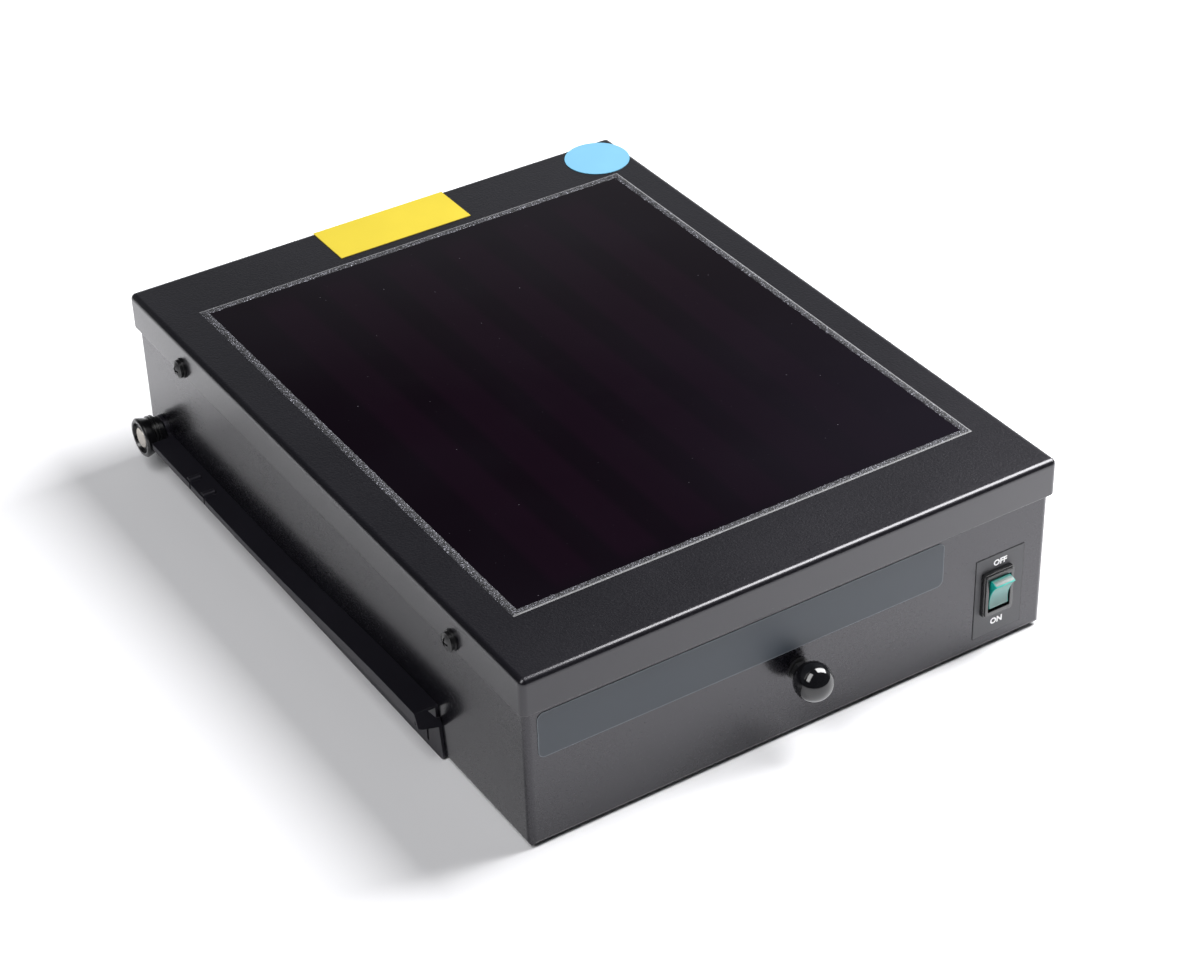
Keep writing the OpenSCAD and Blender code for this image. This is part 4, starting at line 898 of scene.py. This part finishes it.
def studio_floor():
    """A wide, slightly mottled white sheet under the object."""
    half = 4.0
    mesh = bpy.data.meshes.new("floor")
    square = [(-half, -half, 0), (half, -half, 0), (half, half, 0), (-half, half, 0)]
    mesh.from_pydata(square, [], [(0, 1, 2, 3)])
    floor = bpy.data.objects.new("floor", mesh)
    bpy.context.scene.collection.objects.link(floor)
    paper = Finish("floor_paper")
    mottle = paper.noise(0.6, 2.0)
    shade = paper.blend(mottle, (0.85, 0.85, 0.87), (0.88, 0.88, 0.90))
    mesh.materials.append(paper.close(Base_Color=shade, Roughness=0.9, Specular_IOR_Level=0.2))


def studio_world():
    """Dark surroundings with a low pale backdrop behind the object, a little to the right."""
    world = bpy.data.worlds.new("studio")
    world.use_nodes = True
    tree = world.node_tree
    sky, split = tree.nodes.new("ShaderNodeTexCoord"), tree.nodes.new("ShaderNodeSeparateXYZ")
    tree.links.new(sky.outputs["Generated"], split.inputs[0])
    way = tree.nodes.new("ShaderNodeVectorMath")
    way.operation = "DOT_PRODUCT"
    way.inputs[1].default_value = GLOW_WAY
    tree.links.new(sky.outputs["Generated"], way.inputs[0])
    glow = tree.nodes.new("ShaderNodeMath")
    glow.operation = "MULTIPLY_ADD"
    glow.inputs[2].default_value = GLOW_FLOOR
    fades = ((way.outputs["Value"], GLOW_ROUND), (split.outputs["Z"], GLOW_HEIGHT))
    for term, (socket, values) in enumerate(fades):
        fade = tree.nodes.new("ShaderNodeMapRange")
        tree.links.new(socket, fade.inputs["Value"])
        for key, value in zip(("From Min", "From Max", "To Min", "To Max"), values):
            fade.inputs[key].default_value = value
        tree.links.new(fade.outputs[0], glow.inputs[term])
    background = tree.nodes["Background"]
    tree.links.new(glow.outputs[0], background.inputs["Strength"])
    background.inputs["Color"].default_value = (0.95, 0.97, 1.0, 1)
    return world


class TRANS_OT_stage(bpy.types.Operator):
    """Set up the floor, the lights and the camera"""
    bl_idname = "trans.stage"
    bl_label = "Stage"

    def execute(self, context):
        props = context.scene.trans_stage
        studio_floor()
        for softbox in SOFTBOXES:
            soft_light(*softbox)
        context.scene.world = studio_world()
        context.scene.view_settings.view_transform = "Standard"
        data = bpy.data.cameras.new("camera")
        data.lens = props.lens
        data.sensor_width = 36
        data.clip_end = 20
        camera = bpy.data.objects.new("camera", data)
        camera.matrix_world = camera_matrix(props)
        context.scene.collection.objects.link(camera)
        context.scene.camera = camera
        return {"FINISHED"}


class TRANS_PT_panel(bpy.types.Panel):
    """Lists the makers of the pieces"""
    bl_idname = "TRANS_PT_panel"
    bl_label = "Transilluminator"
    bl_space_type = "VIEW_3D"
    bl_region_type = "UI"
    bl_category = "Transilluminator"

    def draw(self, context):
        for maker in MAKERS:
            self.layout.operator(maker.bl_idname)
        for group in (context.scene.trans_sizes, context.scene.trans_colours, context.scene.trans_stage):
            for key in group.__annotations__:
                self.layout.prop(group, key)


MAKERS = (TRANS_OT_finishes, TRANS_OT_stage, TRANS_OT_lid, TRANS_OT_switch, TRANS_OT_knob, TRANS_OT_rollers)
GROUPS = {"trans_sizes": TransSizes, "trans_colours": TransColours, "trans_stage": TransStage}


def register():
    for kind in (*GROUPS.values(), *MAKERS, TRANS_PT_panel):
        bpy.utils.register_class(kind)
    for name, kind in GROUPS.items():
        setattr(bpy.types.Scene, name, PointerProperty(type=kind))


def unregister():
    for name in GROUPS:
        delattr(bpy.types.Scene, name)
    for kind in (TRANS_PT_panel, *reversed(MAKERS), *GROUPS.values()):
        bpy.utils.unregister_class(kind)


def main():
    register()
    bpy.ops.trans.finishes()
    bpy.ops.trans.stage()
    bpy.ops.trans.lid()
    bpy.ops.trans.switch()
    bpy.ops.trans.knob()
    bpy.ops.trans.rollers()


if __name__ == "__main__":
    main()
